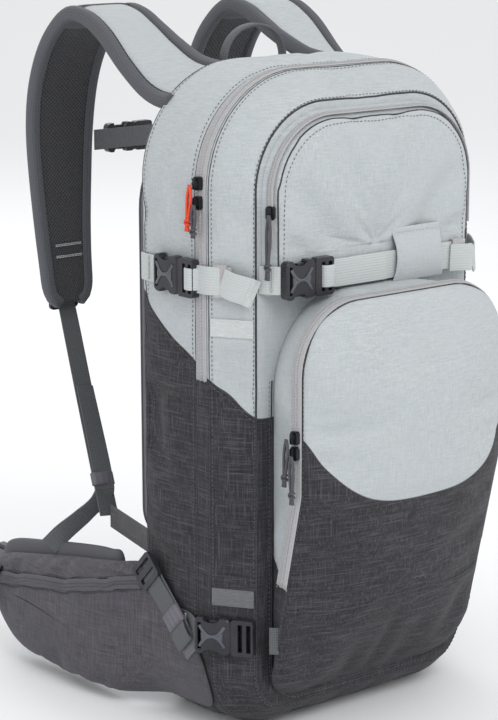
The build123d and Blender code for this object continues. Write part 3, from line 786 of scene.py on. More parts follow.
main_zip_ring = ring(outline(152.8, 0, 600.8, 62, 100.8), -0.116)
pocket_zip_ring = ring(outline(122.0, 34, 408.0, 40, 63), lambda x, z: pocket_depth(x, z) + 0.0072)
goggle_zip_ring = ring(outline(118.6, 409, 564.6, 8, 67), -0.1685)
for name, loop, foot, width in (("main_zip", main_zip_ring, 0.330, 0.0145),
                                ("pocket_zip", pocket_zip_ring, 0.150, 0.0135),
                                ("goggle_zip", goggle_zip_ring, 0.452, 0.0095)):
    zip_strip(name, one_run(loop, lambda p: p.z > foot), (0, 1, 0), width, zip_cloth, coil_nylon, 1)
    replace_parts(bpy.data.objects[name + "_tape"], "zip_tapes")

# ---- Zip sliders and cord pulls ----
# The sliders are black lacquered castings. Each pull is a loop of thin cord through the slider's eye,
# closed by an overhand knot near its end; the upper one of the main zip is orange, for use in a hurry.


def moulded(name, colour, roughness=0.38, metallic=0.0, grain=0.00012):
    """Moulded or cast part: fine grain, slightly worn lighter in random patches."""
    cloth = Cloth(name, roughness, metallic=metallic, specular=0.35)
    grit = cloth.noise((1400, 1400, 1400), 3, 0.6)
    wear = cloth.noise((60, 60, 60), 3, 0.6, seed=4)
    pale = tuple(min(1.0, 1.35 * c + 0.01) for c in colour)
    tone = cloth.blend(cloth.spread(wear, 0.35, 0.75, 0.0, 0.8), colour, pale)
    rough = cloth.spread(grit, 0.3, 0.7, roughness * 0.85, min(1.0, roughness * 1.25))
    return cloth.finish(tone, grit, grain, rough)


def finish_nodes(finish, *names):
    """Gives CAD pieces their real finish."""
    for node in names:
        for place in frame["nodes"][node].material_slots:
            place.material = finish


slider_lacquer = moulded("slider_lacquer", (0.018, 0.019, 0.022), 0.30, 0.6)
finish_nodes(slider_lacquer, "main_slider_upper", "main_slider_lower", "goggle_slider", "pocket_slider_upper",
             "pocket_slider_lower", "door_slider", "hip_slider_left", "hip_slider_right")
orange_cord = strip_cloth("orange_cord", (0.82, 0.085, 0.035), 3600, 1800, 0.6, 0.0004)
grey_cord = strip_cloth("grey_cord", (0.085, 0.085, 0.10), 3600, 1800, 0.6, 0.0004)


def cord_pull(name, cloth, lean=0.0):
    """A cord loop with its knot, hanging where its slider's pull hangs."""
    low, high = (Vector(corner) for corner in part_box(name))
    middle = (low + high) / 2
    out = Vector((middle.x, 0, 0)).normalized() if abs(middle.x) > 0.05 else Vector((0, -1, 0))
    side = out.cross(Vector((0, 0, 1)))
    top, foot = Vector((middle.x, middle.y, high.z - 0.001)), Vector((middle.x, middle.y, low.z))
    drop = top.z - foot.z
    knot = foot + Vector((0, 0, drop * 0.20)) + side * lean * 0.8
    body = frame["nodes"][name]["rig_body"]
    strands = []
    for sign, part in ((-1, "a"), (1, "b")):
        belly = top + side * (sign * 0.0024 + lean * 0.2) - Vector((0, 0, drop * 0.3))
        marks = [top + side * sign * 0.0004, belly, knot + side * sign * 0.0009,
                 foot + side * (sign * 0.0015 + lean)]
        strands.append(sweep(f"{name}_strand_{part}", curve_through(marks, 0.0015), tuple(out),
                             round_section(0.0014), cloth, body))
    turns = []
    for t in shares(40):
        a = 2 * math.pi * t
        wrap = side * 0.0027 * math.cos(2 * a) + out * 0.0020 * math.sin(2 * a)
        turns.append(knot + wrap + Vector((0, 0, 0.0022 * math.sin(a))))
    strands.append(sweep(name + "_knot", turns, (0, 0.3, 1), round_section(0.00115), cloth, body))
    for strand in strands:
        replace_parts(strand, name)


cord_pull("main_pull_upper", orange_cord, 0.004)
for pull, lean in (("main_pull_lower", 0.001), ("goggle_pull", 0.002), ("pocket_pull_upper", 0.003),
                   ("pocket_pull_lower", -0.001), ("door_pull", 0.0), ("hip_pull_left", 0.001),
                   ("hip_pull_right", 0.001)):
    cord_pull(pull, grey_cord, lean)

# ---- Compression straps and the front strap ----
# Two pale 25 mm straps squeeze the sides and one crosses the front; two dark ones sit low on the sides.
# Each is sewn into a seam, passes a side-release buckle and ends in a folded tail behind an elastic keeper.
pale_webbing = strip_cloth("pale_webbing", (0.53, 0.56, 0.56), 5200, 2600, 0.7, 0.0003, 0.86)
dark_webbing = strip_cloth("dark_webbing", (0.115, 0.122, 0.130), 3600, 2600, 0.7, 0.0003, 0.62)
loop_cloth = Cloth("loop_cloth", 0.7, sheen=0.2)
loop_yarn = loop_cloth.noise((160, 160, 2600), 2, 0.5)
loop_height = loop_cloth.axes(loop_cloth.place)[2]
loop_share = loop_cloth.spread(loop_yarn, 0.35, 0.65)
loop_dark = loop_cloth.blend(loop_share, (0.09, 0.095, 0.10), (0.14, 0.145, 0.15))
loop_pale = loop_cloth.blend(loop_share, (0.44, 0.46, 0.46), (0.56, 0.58, 0.58))
loop_tone = loop_cloth.blend(loop_cloth.spread(loop_height, 0.24, 0.26), loop_dark, loop_pale)
loop_webbing = loop_cloth.finish(loop_tone, loop_yarn, 0.0003)
finish_nodes(loop_webbing, "ski_loops")
elastic_band = plain_cloth("elastic_cloth", 0.75, 0.3, (2200, 2200, 90), 2, (0.35, 0.65), (0.30, 0.28, 0.295),
                           (0.44, 0.415, 0.43), 0.0003)
finish_nodes(elastic_band, "strap_keepers")
mauve_elastic = strip_cloth("mauve_elastic", (0.17, 0.16, 0.19), 5200, 900, 0.75, 0.0003, 0.7)
buckle_plastic = moulded("buckle_plastic", (0.020, 0.020, 0.026), 0.27)
finish_nodes(buckle_plastic, "side_buckle_sockets", "side_plug_upper_left", "side_plug_upper_right",
             "side_plug_lower_left", "side_plug_lower_right", "front_buckle_socket", "front_buckle_plug")
STRAP_WIDTH = 0.025
GUSSET = Vector((math.sin(TAPER_TURN), -math.cos(TAPER_TURN), 0))
GUSSET_OUT = Vector((-math.cos(TAPER_TURN), -math.sin(TAPER_TURN), 0))


def mirrored(point, sign):
    """A point of the wearer's left side, or its mirror image on the right."""
    return Vector((point[0] * -sign, point[1], point[2]))


def at_height(points, z):
    """Points given by x and y, all at one height."""
    return [Vector((x, y, z)) for x, y in points]


def webbing(name, marks, across, cloth, body="pack", width=STRAP_WIDTH, slot="webbing_light", step=0.003):
    """A length of strap through a few marks."""
    line = curve_through(marks, step)
    return sweep(name, line, across, tape_section(width, 0.0014), cloth, body, False)


def cross_stitch(name, middle, across, along, out, cloth, body="pack", width=0.021):
    """A bartack: one tight row of thread across a strap."""
    across, along, out = (Vector(v).normalized() for v in (across, along, out))
    for k in (-1, 1):
        row = Vector(middle) + along * 0.0007 * k + out * 0.0009
        line = [row + across * (t - 0.5) * width for t in shares(5)]
        stitches(f"{name}_{k + 1}", line, [out] * 6, cloth, body, 0.0016, 0.0002, 0.0005)


CORNER = Vector((-0.1535, -0.124, STRAP_Z))
LOW_SEAT = Vector((-0.13966, -0.143, LOW_STRAP_Z))
UP = Vector((0, 0, 1))
LOOP_WIDTH = 0.0195


def gusset_point(start, along, out):
    """A point so far along the left gusset towards the front, and so far off it."""
    return start + GUSSET * along + GUSSET_OUT * out


for sign, hand in SIDES:
    def sewn_strap(part, marks, cloth=pale_webbing, **how):
        """A strap of this side, from marks given for the wearer's left."""
        return webbing(f"{part}_{hand}", [mirrored(p, sign) for p in marks], UP, cloth, **how)

    stub_marks = at_height(((-0.1525, -0.030), (-0.1545, -0.040), (-0.1555, -0.052), (-0.1565, -0.064)),
                           STRAP_Z)
    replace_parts(sewn_strap("side_strap_stub", stub_marks), "side_straps")
    cross_stitch(f"side_stub_tack_{hand}", mirrored((-0.1552, -0.045, STRAP_Z), sign), UP, (0, 1, 0),
                 (sign, 0, 0), pale_thread)
    lead_marks = at_height(((-0.1590, -0.111), (-0.1568, -0.117)), STRAP_Z)
    lead_marks += [gusset_point(CORNER, 0.004, 0.0042), gusset_point(CORNER, 0.014, 0.0040)]
    sewn_strap("side_strap_lead", lead_marks, body=f"side_plug_upper_{hand}")
    sewn_strap("side_strap_run", [gusset_point(CORNER, d, 0.0022) for d in (0.003, 0.012, 0.024)])
    tail = ((0.016, 0.0045), (0.026, 0.0075), (0.040, 0.0075), (0.046, 0.0030))
    tail_marks = [gusset_point(CORNER, d, out) - UP * 0.0035 * k for k, (d, out) in enumerate(tail)]
    sewn_strap("side_strap_tail", tail_marks)
    loop_marks = at_height(((-0.1570, -0.1175), (-0.1620, -0.1155), (-0.1642, -0.1120), (-0.1634, -0.1065),
                            (-0.1600, -0.1045)), STRAP_Z)
    sewn_strap("side_strap_loop", loop_marks, body=f"side_plug_upper_{hand}", width=LOOP_WIDTH, step=0.0015)
    low_marks = at_height(((-0.1528, -0.084), (-0.1540, -0.097), (-0.1578, -0.108)), LOW_STRAP_Z)
    low_marks.append(gusset_point(LOW_SEAT, -0.033, 0.0065))
    sewn_strap("low_strap_stub", low_marks, dark_webbing, slot="webbing_dark")
    cross_stitch(f"low_stub_tack_{hand}", mirrored((-0.1540, -0.093, LOW_STRAP_Z), sign), UP, (0, 1, 0),
                 (sign, 0, 0), pale_thread)
    low_run = [gusset_point(LOW_SEAT, d, out)
               for d, out in ((0.036, 0.0065), (0.042, 0.0055), (0.047, 0.0025))]
    sewn_strap("low_strap_run", low_run, dark_webbing, slot="webbing_dark")


def buckle_relief(name, middle, along, out, body, length=0.024, high=0.020):
    """The crossed ribs moulded on a buckle's face, and the two shallow pads between them, in a lighter copy
    of the buckle plastic as painted highlight.
    """
    along, out = Vector(along).normalized(), Vector(out).normalized()
    up = out.cross(along).normalized()
    for sign, part in ((-1, "falling"), (1, "rising")):
        marks = [middle + along * (t - 0.5) * length + up * sign * (t - 0.5) * high
                 + up * sign * 0.0030 * math.sin(2 * math.pi * t) + out * 0.0004 * math.sin(math.pi * t)
                 for t in shares(10)]
        sweep(f"{name}_rib_{part}", marks, tuple(up), [(a, b * 0.55) for a, b in round_section(0.0015, 10)],
              relief_plastic, body)
    for shift, part in ((-0.30, "rear"), (0.30, "fore")):
        marks = [middle + along * (shift * length + reach) for reach in (-0.0030, -0.0010, 0.0010, 0.0030)]
        sweep(f"{name}_pad_{part}", marks, tuple(up),
              lambda t: [(a * (2.6 - abs(t - (shift > 0)) * 1.3), b * 0.4)
                         for a, b in round_section(0.0015, 12)],
              relief_plastic, body)


# A lighter copy of the buckle plastic for the moulded ribs and pads: painted highlight on the raised relief.
relief_plastic = moulded("relief_plastic", (0.075, 0.080, 0.095), 0.25)
sockets = frame["nodes"]["side_buckle_sockets"].data.vertices
socket_face = max(abs(v.co.x) for v in sockets if v.co.z > 0.3)
for sign, hand in SIDES:
    buckle_relief(f"side_buckle_{hand}", Vector((sign * (socket_face + 0.0001), -0.078, STRAP_Z)), (0, -1, 0),
                  (sign, 0, 0), "pack")
    low_face = gusset_point(LOW_SEAT, -0.017, 0.0106)
    buckle_relief(f"low_buckle_{hand}", mirrored(low_face, sign), mirrored(GUSSET, sign),
                  mirrored(GUSSET_OUT, sign), "pack")
FRONT_STRAP_Z, FRONT_STRAP_Y = 0.425, -0.1775
front_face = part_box("front_buckle_socket")[0][1]
buckle_relief("front_buckle", Vector((-0.097, front_face - 0.0001, FRONT_STRAP_Z)), (1, 0, 0),
              (0, -1, 0), "pack")

front_marks = ((-0.034, 0), (-0.010, -0.0008), (0.020, -0.0015), (0.080, -0.0010), (0.104, 0),
               (0.1135, 0.004), (0.1185, 0.011))
lead_marks = ((-0.0600, -0.0012), (-0.0450, -0.0022), (-0.0200, -0.0026), (0.0080, -0.0030))
stub_marks = ((-0.1245, 0.0155), (-0.1200, 0.0075), (-0.1150, 0.0010), (-0.1080, -0.0025))
loop_marks = ((-0.0580, -0.0015), (-0.0585, -0.0075), (-0.0625, -0.0101), (-0.0690, -0.0093),
              (-0.0715, -0.0055))
for part, marks, how in (("run", front_marks, {}), ("lead", lead_marks, {"body": "front_plug"}),
                         ("stub", stub_marks, {}),
                         ("loop", loop_marks, {"body": "front_plug", "width": LOOP_WIDTH, "step": 0.0015})):
    marks = at_height([(x, FRONT_STRAP_Y + off) for x, off in marks], FRONT_STRAP_Z)
    strap = webbing(f"front_strap_{part}", marks, UP, pale_webbing, **how)
    if part == "run":
        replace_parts(strap, "front_strap")
cross_stitch("front_stub_tack", (-0.1190, -0.1720, FRONT_STRAP_Z), UP, GUSSET, (-0.8, -0.5, 0), pale_thread)
end_tail = [(x, FRONT_STRAP_Y + off, z)
            for x, off, z in ((0.088, -0.0030, 0.4225), (0.105, -0.0040, 0.4215),
                              (0.1180, -0.0010, 0.4200), (0.1230, 0.0080, 0.4190))]
webbing("front_strap_tail", end_tail, UP, pale_webbing)

flap_marks = [(-0.1768, 0.4580), (-0.1788, 0.4500), (-0.1822, 0.4400), (-0.1838, 0.4280), (-0.1830, 0.4160),
              (-0.1806, 0.4085)]
FLAP_X, FLAP_HALF = 0.047, 0.031
flap_rows = []
for k, p in enumerate(curve_through([(0, y, z) for y, z in flap_marks], 0.003)):
    waist = FLAP_HALF - 0.0030 * math.sin(math.pi * min(1.0, k / 17))
    flap_rows.append([Vector((FLAP_X + (t - 0.5) * 2 * waist, p.y - 0.0022 * math.sin(math.pi * t) ** 0.5,
                              p.z)) for t in shares(20)])
flap_cloth = two_tone("flap_fabric", slant)
front_flap = skin("front_flap_cloth", flap_rows, flap_cloth, "front_flap", closed=False)
hem_fold = front_flap.modifiers.new("hem", "SOLIDIFY")
hem_fold.thickness = 0.0012
smooth_over(front_flap)
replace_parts(front_flap, "front_strap_flap")
flap_hem = [Vector((FLAP_X + (t - 0.5) * 0.056, -0.1806, 0.4535)) for t in shares(12)]
stitches("flap_hem_stitches", flap_hem, [Vector((0, -1, 0))] * 13, pale_thread, "front_flap")

# ---- Shoulder straps ----
# Each strap is a band of laminated foam, faced with silver cloth outside, black air mesh inside and slate
# binding along both edges. It is sewn to the top of the back panel and ends in a ladder lock for its webbing.
mesh_cloth = Cloth("air_mesh", 0.8, sheen=0.15)
mesh_net = mesh_cloth.math("MAXIMUM", uv_waves(mesh_cloth, 1500.0, 1500.0),
                           uv_waves(mesh_cloth, 1500.0, -1500.0))
mesh_tone = mesh_cloth.blend(mesh_cloth.spread(mesh_net, 0.62, 0.95), (0.008, 0.008, 0.010),
                             (0.060, 0.060, 0.068))
air_mesh = mesh_cloth.finish(mesh_tone, mesh_net, 0.0007)
binding_tape = strip_cloth("binding_tape", (0.105, 0.110, 0.125), 3000, 2400, 0.7, 0.0003, 0.62)
strap_panel = two_tone("strap_panel_cloth", lambda cloth: 1.0)
slate_cloth = strip_cloth("slate_cloth", (0.10, 0.10, 0.115), 4200, 4200, 0.75, 0.00025, 0.6)
PAD_MIDDLE, PAD_WIDTH = 0.095, 0.076
pad_marks = [(-0.040, 0.5815), (-0.018, 0.5835), (0.002, 0.5895), (0.030, 0.6050), (0.058, 0.6235),
             (0.086, 0.6370), (0.112, 0.6385), (0.138, 0.621), (0.158, 0.596), (0.172, 0.562),
             (0.1785, 0.520), (0.1785, 0.470), (0.1755, 0.415), (0.1685, 0.352)]
PANEL_SHARE = 0.36


def pad_width(t):
    """The shoulder strap's width along its length: full over the shoulder, narrower at the chest."""
    return PAD_WIDTH - 0.020 * ease(t, 0.55, 1.0)


def pad_tip(t):
    """How the strap narrows in the last twentieth of its length, from 1."""
    return math.sqrt(max(0.02, 1 - (max(0.0, t - 0.95) / 0.05) ** 2 * 0.98))


def soft_section(wide, thick, blunt_wide, blunt_thick, sides):
    """A section between an oval and a box: the lower a bluntness, the squarer that way."""
    return [(math.copysign(abs(c) ** blunt_wide, c) * wide, math.copysign(abs(n) ** blunt_thick, n) * thick)
            for c, n in round_section(1.0, sides)]


def pad_section(inset, thickness):
    """The strap's section at any place along it: a soft-edged band whose lower end is rounded off."""
    def section(t):
        wide = (pad_width(t) / 2 - inset) * (0.45 + 0.55 * pad_tip(t))
        thick = thickness / 2 * (0.6 + 0.4 * pad_tip(t))
        return soft_section(wide, thick, 0.42, 0.80, 28)
    return section


def outer_half(inset, thickness, start, end):
    """The section of a layer laid on the strap's outer face, over a stretch of its length."""
    whole = pad_section(inset, thickness)
    return lambda t: [(w, max(h, 0.001)) for w, h in whole(start + t * (end - start))]


for sign, hand in SIDES:
    middle = sign * PAD_MIDDLE
    body = f"{hand}_strap"
    line = curve_through([(middle, y, z) for y, z in pad_marks], 0.006)

    def lean(t):
        """The strap's direction across: it lies on the bag's round shoulder at its root, level further on."""
        return (1, 0, -sign * 0.44 * (1 - ease(t, 0.03, 0.26)))

    foam = sweep(f"shoulder_foam_{hand}", line, lean, pad_section(0.004, 0.0105), air_mesh, body)
    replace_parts(foam, f"shoulder_pad_{hand}")
    arch = round(len(line) * PANEL_SHARE)
    panel = sweep(f"shoulder_panel_{hand}", line[:arch + 1], lambda t: lean(t * PANEL_SHARE),
                  outer_half(0.010, 0.0135, 0.0, PANEL_SHARE), strap_panel, body)
    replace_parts(panel, f"shoulder_pad_{hand}")
    sweep(f"shoulder_cover_{hand}", line[arch:], (1, 0, 0), outer_half(0.010, 0.0133, PANEL_SHARE, 1.0),
          slate_cloth, body)
    for edge, place in ((-1, "inner"), (1, "outer")):
        offset = []
        for k, p in enumerate(line):
            t = k / (len(line) - 1)
            half = (pad_width(t) / 2 - 0.0055) * (0.45 + 0.55 * pad_tip(t))
            offset.append(p + Vector(lean(t)).normalized() * edge * half)
        sweep(f"shoulder_binding_{place}_{hand}", offset, lean, soft_section(0.0058, 0.0071, 0.7, 0.7, 14),
              binding_tape, body)
    sweep(f"shoulder_crossband_{hand}", line[arch - 3:arch + 3], (1, 0, 0),
          pad_section(0.001, 0.0150)(PANEL_SHARE), binding_tape, body)
    root = min(range(len(line)), key=lambda k: abs(line[k].y + 0.022))
    root_seam = [line[root] + Vector(lean(root / (len(line) - 1))) * (t - 0.5) * 0.070
                 + Vector((0, -0.012 * math.sin(math.pi * t), 0.0080)) for t in shares(14)]
    seam(f"shoulder_root_{hand}", main_bag, root_seam, lambda p: (0, -0.003, 0), 0.0005)
    for k, z in enumerate((0.396, 0.410)):
        spot = min(line, key=lambda p: abs(p.z - z) + (0 if p.y > 0.14 else 1))
        cross_stitch(f"shoulder_tack_{k}_{hand}", spot + Vector((0, -0.0065, 0)), (1, 0, 0), UP,
                     (0, -1, 0), pale_thread, body, 0.030)

    lock = Vector((middle, 0.1745, 0.352))
    anchor = Vector((sign * 0.127, 0.062, 0.162))
    run_marks = [lock, Vector((middle, 0.1685, 0.336)), lock.lerp(anchor, 0.45),
                 lock.lerp(anchor, 0.86), anchor]
    run_line = curve_through(run_marks, 0.004)
    run = sweep(f"strap_webbing_run_{hand}", run_line, lambda t: (1, 0, 0.12 * t),
                tape_section(0.020, 0.0015), dark_webbing, body, False)
    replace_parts(run, f"strap_webbing_{hand}")
    keeper_line = [p + Vector((0, -0.0012, 0)) for p in run_line[-13:-8]]
    sweep(f"strap_keeper_{hand}", keeper_line, (1, 0, 0.1), tape_section(0.0235, 0.0075), mauve_elastic, body)
    tail_marks = [lock.lerp(anchor, 0.40) + Vector((0, -0.0032, 0)),
                  lock.lerp(anchor, 0.80) + Vector((0, -0.0034, 0)),
                  lock.lerp(anchor, 0.93) + Vector((0.001 * sign, 0.004, 0.004)),
                  Vector((sign * 0.137, 0.090, 0.158)), Vector((sign * 0.152, 0.104, 0.140)),
                  Vector((sign * 0.166, 0.109, 0.127))]
    sweep(f"strap_tail_{hand}", curve_through(tail_marks, 0.004),
          lambda t: (1 - 0.23 * t, 0.64 * t * sign, 0), tape_section(0.019, 0.0015), dark_webbing, body,
          False)

finish_nodes(buckle_plastic, "strap_lock_left", "strap_lock_right", "sternum_socket", "sternum_plug")
tab_cloth = Cloth("tab_cloth", 0.75, sheen=0.2)
tab_shade, tab_height = charcoal_threads(tab_cloth)
tab_fabric = tab_cloth.finish(tab_shade, tab_height, 0.0002)
finish_nodes(tab_fabric, "strap_anchor_tabs")
rib_webbing = plain_cloth("rib_cloth", 0.7, 0.2, (500, 500, 2600), 2, (0.35, 0.65), (0.075, 0.08, 0.088),
                          (0.14, 0.147, 0.155), 0.0003)
finish_nodes(rib_webbing, "sternum_webbing", "stabiliser_straps", "hip_webbing_left", "hip_webbing_right")

haul_low, haul_high = (Vector(corner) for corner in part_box("haul_loop"))
haul_y = (haul_low.y + haul_high.y) / 2
haul_middle = (haul_low.x + haul_high.x) / 2
haul_reach = (haul_high.x - haul_low.x) / 2 - 0.006
haul_marks = []
for a in (math.pi * t for t in shares(12)):
    haul_marks.append((haul_middle - haul_reach * math.cos(a), haul_y,
                       haul_low.z + 0.004 + (haul_high.z - haul_low.z - 0.010) * math.sin(a) ** 0.75))
haul = sweep("haul_loop_strap", curve_through(haul_marks, 0.004), (0, 1, 0), tape_section(0.0105, 0.0030),
             dark_webbing, "haul_loop")
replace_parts(haul, "haul_loop")

# ---- Hip wings ----
# Each wing is a padded fin with a zipped pocket on its outer face, in a mauve-grey ripstop.
# The pocket's cloth runs on over the side of the bag.
wing_cloth = Cloth("wing_ripstop", 0.75, sheen=0.08, specular=0.28)
wing_rows = wing_cloth.noise((60, 40, 1100), 3, 0.65)
wing_columns = wing_cloth.noise((900, 900, 50), 2, 0.6, seed=2)
wing_shade = wing_cloth.noise((12, 12, 12), 2, 0.5, seed=6)
wing_weave = wing_cloth.math("ADD", wing_rows, wing_columns)
wing_tone = wing_cloth.blend(wing_cloth.spread(wing_weave, 0.75, 1.25), (0.040, 0.037, 0.045),
                             (0.110, 0.104, 0.120))
wing_tone = wing_cloth.blend(wing_cloth.spread(wing_shade, 0.35, 0.7, 0.0, 0.5), wing_tone,
                             (0.062, 0.059, 0.069))
wing_fabric = wing_cloth.finish(wing_tone, wing_weave, 0.0002)
OUTLINE_POINTS = 132
WING_INNER, WING_THICK = 0.1497, 0.0125
POCKET_INNER = 0.1606


def even_loop(marks):
    """A closed smooth outline through marks, at even spacing."""
    loop = curve_through([marks[-1]] + list(marks) + [marks[0], marks[1]], 0.001)
    start = min(range(len(loop) // 2), key=lambda k: (loop[k] - Vector(marks[0])).length)
    end = min(range(len(loop) // 2, len(loop)), key=lambda k: (loop[k] - Vector(marks[0])).length)
    loop = loop[start:end + 1]
    lengths = [0.0]
    for a, b in zip(loop, loop[1:]):
        lengths.append(lengths[-1] + (b - a).length)
    spots = [lengths[-1] * k / OUTLINE_POINTS for k in range(OUTLINE_POINTS)]
    axes = [np.interp(spots, lengths, [p[axis] for p in loop]) for axis in range(3)]
    return [Vector(p) for p in zip(*axes)]


def wing_base(y, z):
    """Where the wing pocket's inner face lies: on the bag's side and its round foot, then on the pad."""
    radius = LOW_RADIUS * MM
    drop = max(0.0, radius - z)
    on_bag = HALF_WIDTH * MM - radius + math.sqrt(max(0.0, radius ** 2 - drop ** 2)) + 0.0008
    return on_bag + (POCKET_INNER - on_bag) * ease(y, -0.045, 0.004)


def wing_depth(y):
    """The wing pocket's thickness: thin cloth on the bag, full over the pad, a little less at its end."""
    return 0.0055 + 0.0135 * ease(y, -0.070, 0.060) - 0.002 * ease(y, 0.15, 0.20)


def cushion(name, marks, sign, base, thickness, fabric, body, spine):
    """A closed cushion standing on the bag's side: an outline in y and z, a base and a crowned outer face."""
    loop = even_loop([(0, y, z) for y, z in marks])
    rings = []
    y_low, y_high, z_middle = spine

    def heart(p):
        return Vector((0, min(max(p.y, y_low), y_high), z_middle(p.y)))

    for share, height in ((1.0, 0.0), (0.55, 0.0), (0.10, 0.0), (0.02, 0.06), (0.0, 0.22), (0.0, 0.45),
                          (0.03, 0.64), (0.08, 0.77), (0.16, 0.87), (0.28, 0.94), (0.42, 0.98),
                          (0.60, 1.0), (0.80, 1.0), (1.0, 1.0)):
        row = []
        for p in loop:
            spot = p.lerp(heart(p), share)
            out = base(spot.y, spot.z) + thickness(spot.y) * height
            row.append(Vector((sign * out, spot.y, spot.z)))
        rings.append(row)
    return skin(name, rings, fabric, body)


pad_outline = ((0.004, 0.020), (0.002, 0.080), (0.004, 0.140), (0.022, 0.1435), (0.060, 0.139),
               (0.130, 0.1265), (0.186, 0.1150), (0.2015, 0.1020), (0.203, 0.0760), (0.2005, 0.0450),
               (0.180, 0.0260), (0.150, 0.0115), (0.100, 0.0060), (0.060, 0.0045), (0.015, 0.0120))
pocket_outline = ((-0.060, 0.1330), (-0.032, 0.1440), (-0.005, 0.1400), (0.030, 0.1340), (0.070, 0.1270),
                  (0.130, 0.1150), (0.180, 0.1040), (0.1930, 0.0930), (0.1960, 0.0740), (0.1920, 0.0500),
                  (0.176, 0.0320), (0.146, 0.0160), (0.100, 0.0110), (0.055, 0.0095), (0.010, 0.0105),
                  (-0.035, 0.0110), (-0.080, 0.0130), (-0.112, 0.0220), (-0.124, 0.0420), (-0.117, 0.0680),
                  (-0.096, 0.0960))
for sign, hand in SIDES:
    wing = f"{hand}_wing"
    pad = cushion(f"wing_pad_{hand}", pad_outline, sign, lambda y, z: WING_INNER, lambda y: WING_THICK,
                  slate_cloth, wing, (0.035, 0.165, lambda y: 0.076))
    smooth_over(pad)
    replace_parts(pad, f"hip_wing_{hand}")
    pocket = cushion(f"wing_pocket_{hand}", pocket_outline, sign, wing_base, wing_depth, wing_fabric, None,
                     (-0.085, 0.160, lambda y: 0.058 + 0.014 * ease(y, 0.0, 0.15)))
    swell(pocket, lambda p: p.y < -0.01 or abs(p.x) < 0.1665, 0.003, pressure=3)
    smooth_over(pocket)
    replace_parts(pocket, f"hip_pocket_{hand}", "hip_wing_roots")
    band = [Vector((sign * 0.19, 0.190 - 0.232 * t, 0.0800 + 0.0465 * t + 0.0010 * math.sin(9 * t)))
            for t in shares(60)]
    band_line, _ = laid_on(pocket, band, 0.0004)
    before = set(bpy.data.objects)
    zip_strip(f"wing_zip_{hand}", band_line, (0, 0.2, 1), 0.012, dark_zip_cloth, dark_coil, sign, None)
    for name, rise in (("upper", 0.0078), ("lower", -0.0078)):
        wavy = [p + Vector((0, 0, rise + 0.0009 * math.sin(k * 0.55))) for k, p in enumerate(band)]
        seam(f"wing_{name}_seam_{hand}", pocket, wavy, None, 0.0010, None)
    added = [o for o in bpy.data.objects if o not in before]
    for piece in added + [pocket]:
        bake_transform(piece)

finish_nodes(buckle_plastic, "hip_buckle_plug", "hip_buckle_socket", "stabiliser_locks")
seat = Vector((-0.1573, -0.032, 0.150))
down = Vector((0, -0.72, -0.694)).normalized()
flat = down.cross(Vector((-1, 0, 0)))
tail_marks = ((0.076, 0.0034), (0.084, 0.0052), (0.092, 0.0056), (0.0965, 0.0044), (0.094, 0.0028))
over_marks = ((0.018, 0.0030), (0.028, 0.0036), (0.045, 0.0030), (0.062, 0.0026))
keeper_marks = ((0.060, 0.0022), (0.066, 0.0022), (0.072, 0.0022), (0.077, 0.0022))


def slanting(marks, sign):
    """Points down the stabiliser strap's slant, each so far from its top and off the wing."""
    return [mirrored(seat + down * d + Vector((-rise, 0, 0)), sign) for d, rise in marks]


for sign, hand in SIDES:
    sweep(f"stabiliser_keeper_{hand}", slanting(keeper_marks, sign), tuple(flat),
          tape_section(0.0275, 0.0060), mauve_elastic, "pack")
    for part, marks, width, thick in (("tail", tail_marks, 0.0245, 0.0015),
                                      ("over", over_marks, 0.0235, 0.0014)):
        sweep(f"stabiliser_{part}_{hand}", curve_through(slanting(marks, sign), 0.002), tuple(flat),
              tape_section(width, thick), dark_webbing, "pack", False)

# ---- Back panel ----
# The back opens as a door on its lower edge. It is foam over a frame sheet, faced with moulded air mesh in
# blocks with channels between them, and bound round its edge in mauve-grey tape.
back_cloth = Cloth("back_mesh", 0.85, sheen=0.15)
back_yarn = back_cloth.noise((1000, 1000, 1000), 1, 0.4)
back_holes = back_cloth.noise((420, 420, 420), 1, 0.3, seed=8)
back_tone = back_cloth.blend(back_cloth.spread(back_holes, 0.42, 0.58), (0.012, 0.012, 0.014),
                             (0.075, 0.075, 0.085))
back_mesh = back_cloth.finish(back_tone, back_cloth.math("ADD", back_yarn, back_holes), 0.0006)
door_band = plain_cloth("door_band", 0.75, 0.25, (30, 1500, 30), 2, (0.3, 0.7), (0.080, 0.076, 0.088),
                        (0.150, 0.143, 0.160), 0.0003)


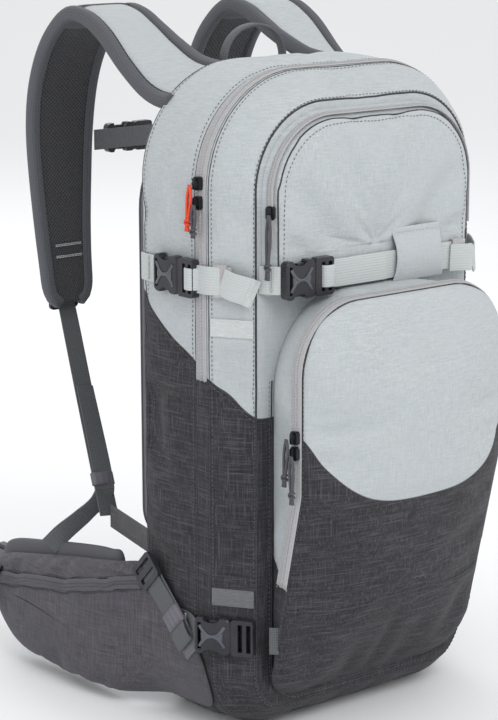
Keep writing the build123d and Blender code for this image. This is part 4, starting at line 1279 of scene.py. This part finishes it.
def blocks(x, z, columns, rows):
    """Depth of the channels between the foam blocks: 0 on a block and 1 in a channel."""
    upright = [math.exp(-((x - c) / 0.0065) ** 2) for c in columns]
    level = [math.exp(-((z - r - 0.10 * abs(x)) / 0.0055) ** 2) for r in rows]
    return max(upright + level)


def back_cushion(name, half, low, high, radii, columns, rows, body):
    """A back pad: banded sides, a rounded edge and a face of foam blocks."""
    edge = [ring(outline(half, low, high, *radii), y) for y in (-0.0274, -0.021, -0.0145, -0.0095)]
    for inset, y in ((1.2, -0.0060), (3.6, -0.0032), (7.0, -0.0012), (11.0, 0.0)):
        shape = outline(half - inset, low + inset, high - inset, radii[0] - inset, radii[1] - inset)
        edge.append(ring(shape, y))
    face = to_middle(edge[-1], 24, 0.0)
    face = [[Vector((p.x, 0.0012 - 0.0075 * blocks(p.x, p.z, columns, rows), p.z)) for p in row]
            for row in face]
    pad = skin(name, edge + face, back_mesh, body)
    smooth_over(pad)
    band_rows_at = [ring(outline(half + 0.4, low - 0.2, high + 0.4, radii[0], radii[1]), y)
                    for y in (-0.0274, -0.022, -0.016, -0.0095)]
    band_piece = skin(name + "_band", band_rows_at, door_band, body)
    for k, y in enumerate((-0.0265, -0.0185, -0.0090)):
        loop = ring(outline(half + 0.4, low - 0.1, high + 0.4, radii[0], radii[1]), y)
        sweep(f"{name}_piping_{k}", loop + [loop[0]], (0, 1, 0), round_section(0.0011, 8), binding_tape, body)
    return pad


door = back_cushion("back_door", 138, 150, 553, (40, 84), (0.0, -0.078, 0.078), (0.215, 0.295, 0.375, 0.455),
                    "back_door")
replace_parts(door, "back_door_pad")
lumbar = back_cushion("lumbar_cushion", 112, 8, 140, (30, 40), (0.0,), (), "pack")
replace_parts(lumbar, "lumbar_pad")
frame_plastic = moulded("frame_plastic", (0.05, 0.05, 0.055), 0.5)
finish_nodes(frame_plastic, "frame_sheet")
frame_metal = moulded("frame_metal", (0.55, 0.56, 0.58), 0.35, 1.0)
finish_nodes(frame_metal, "frame_stays")
finish_nodes(lining_fabric, "inner_sleeves")
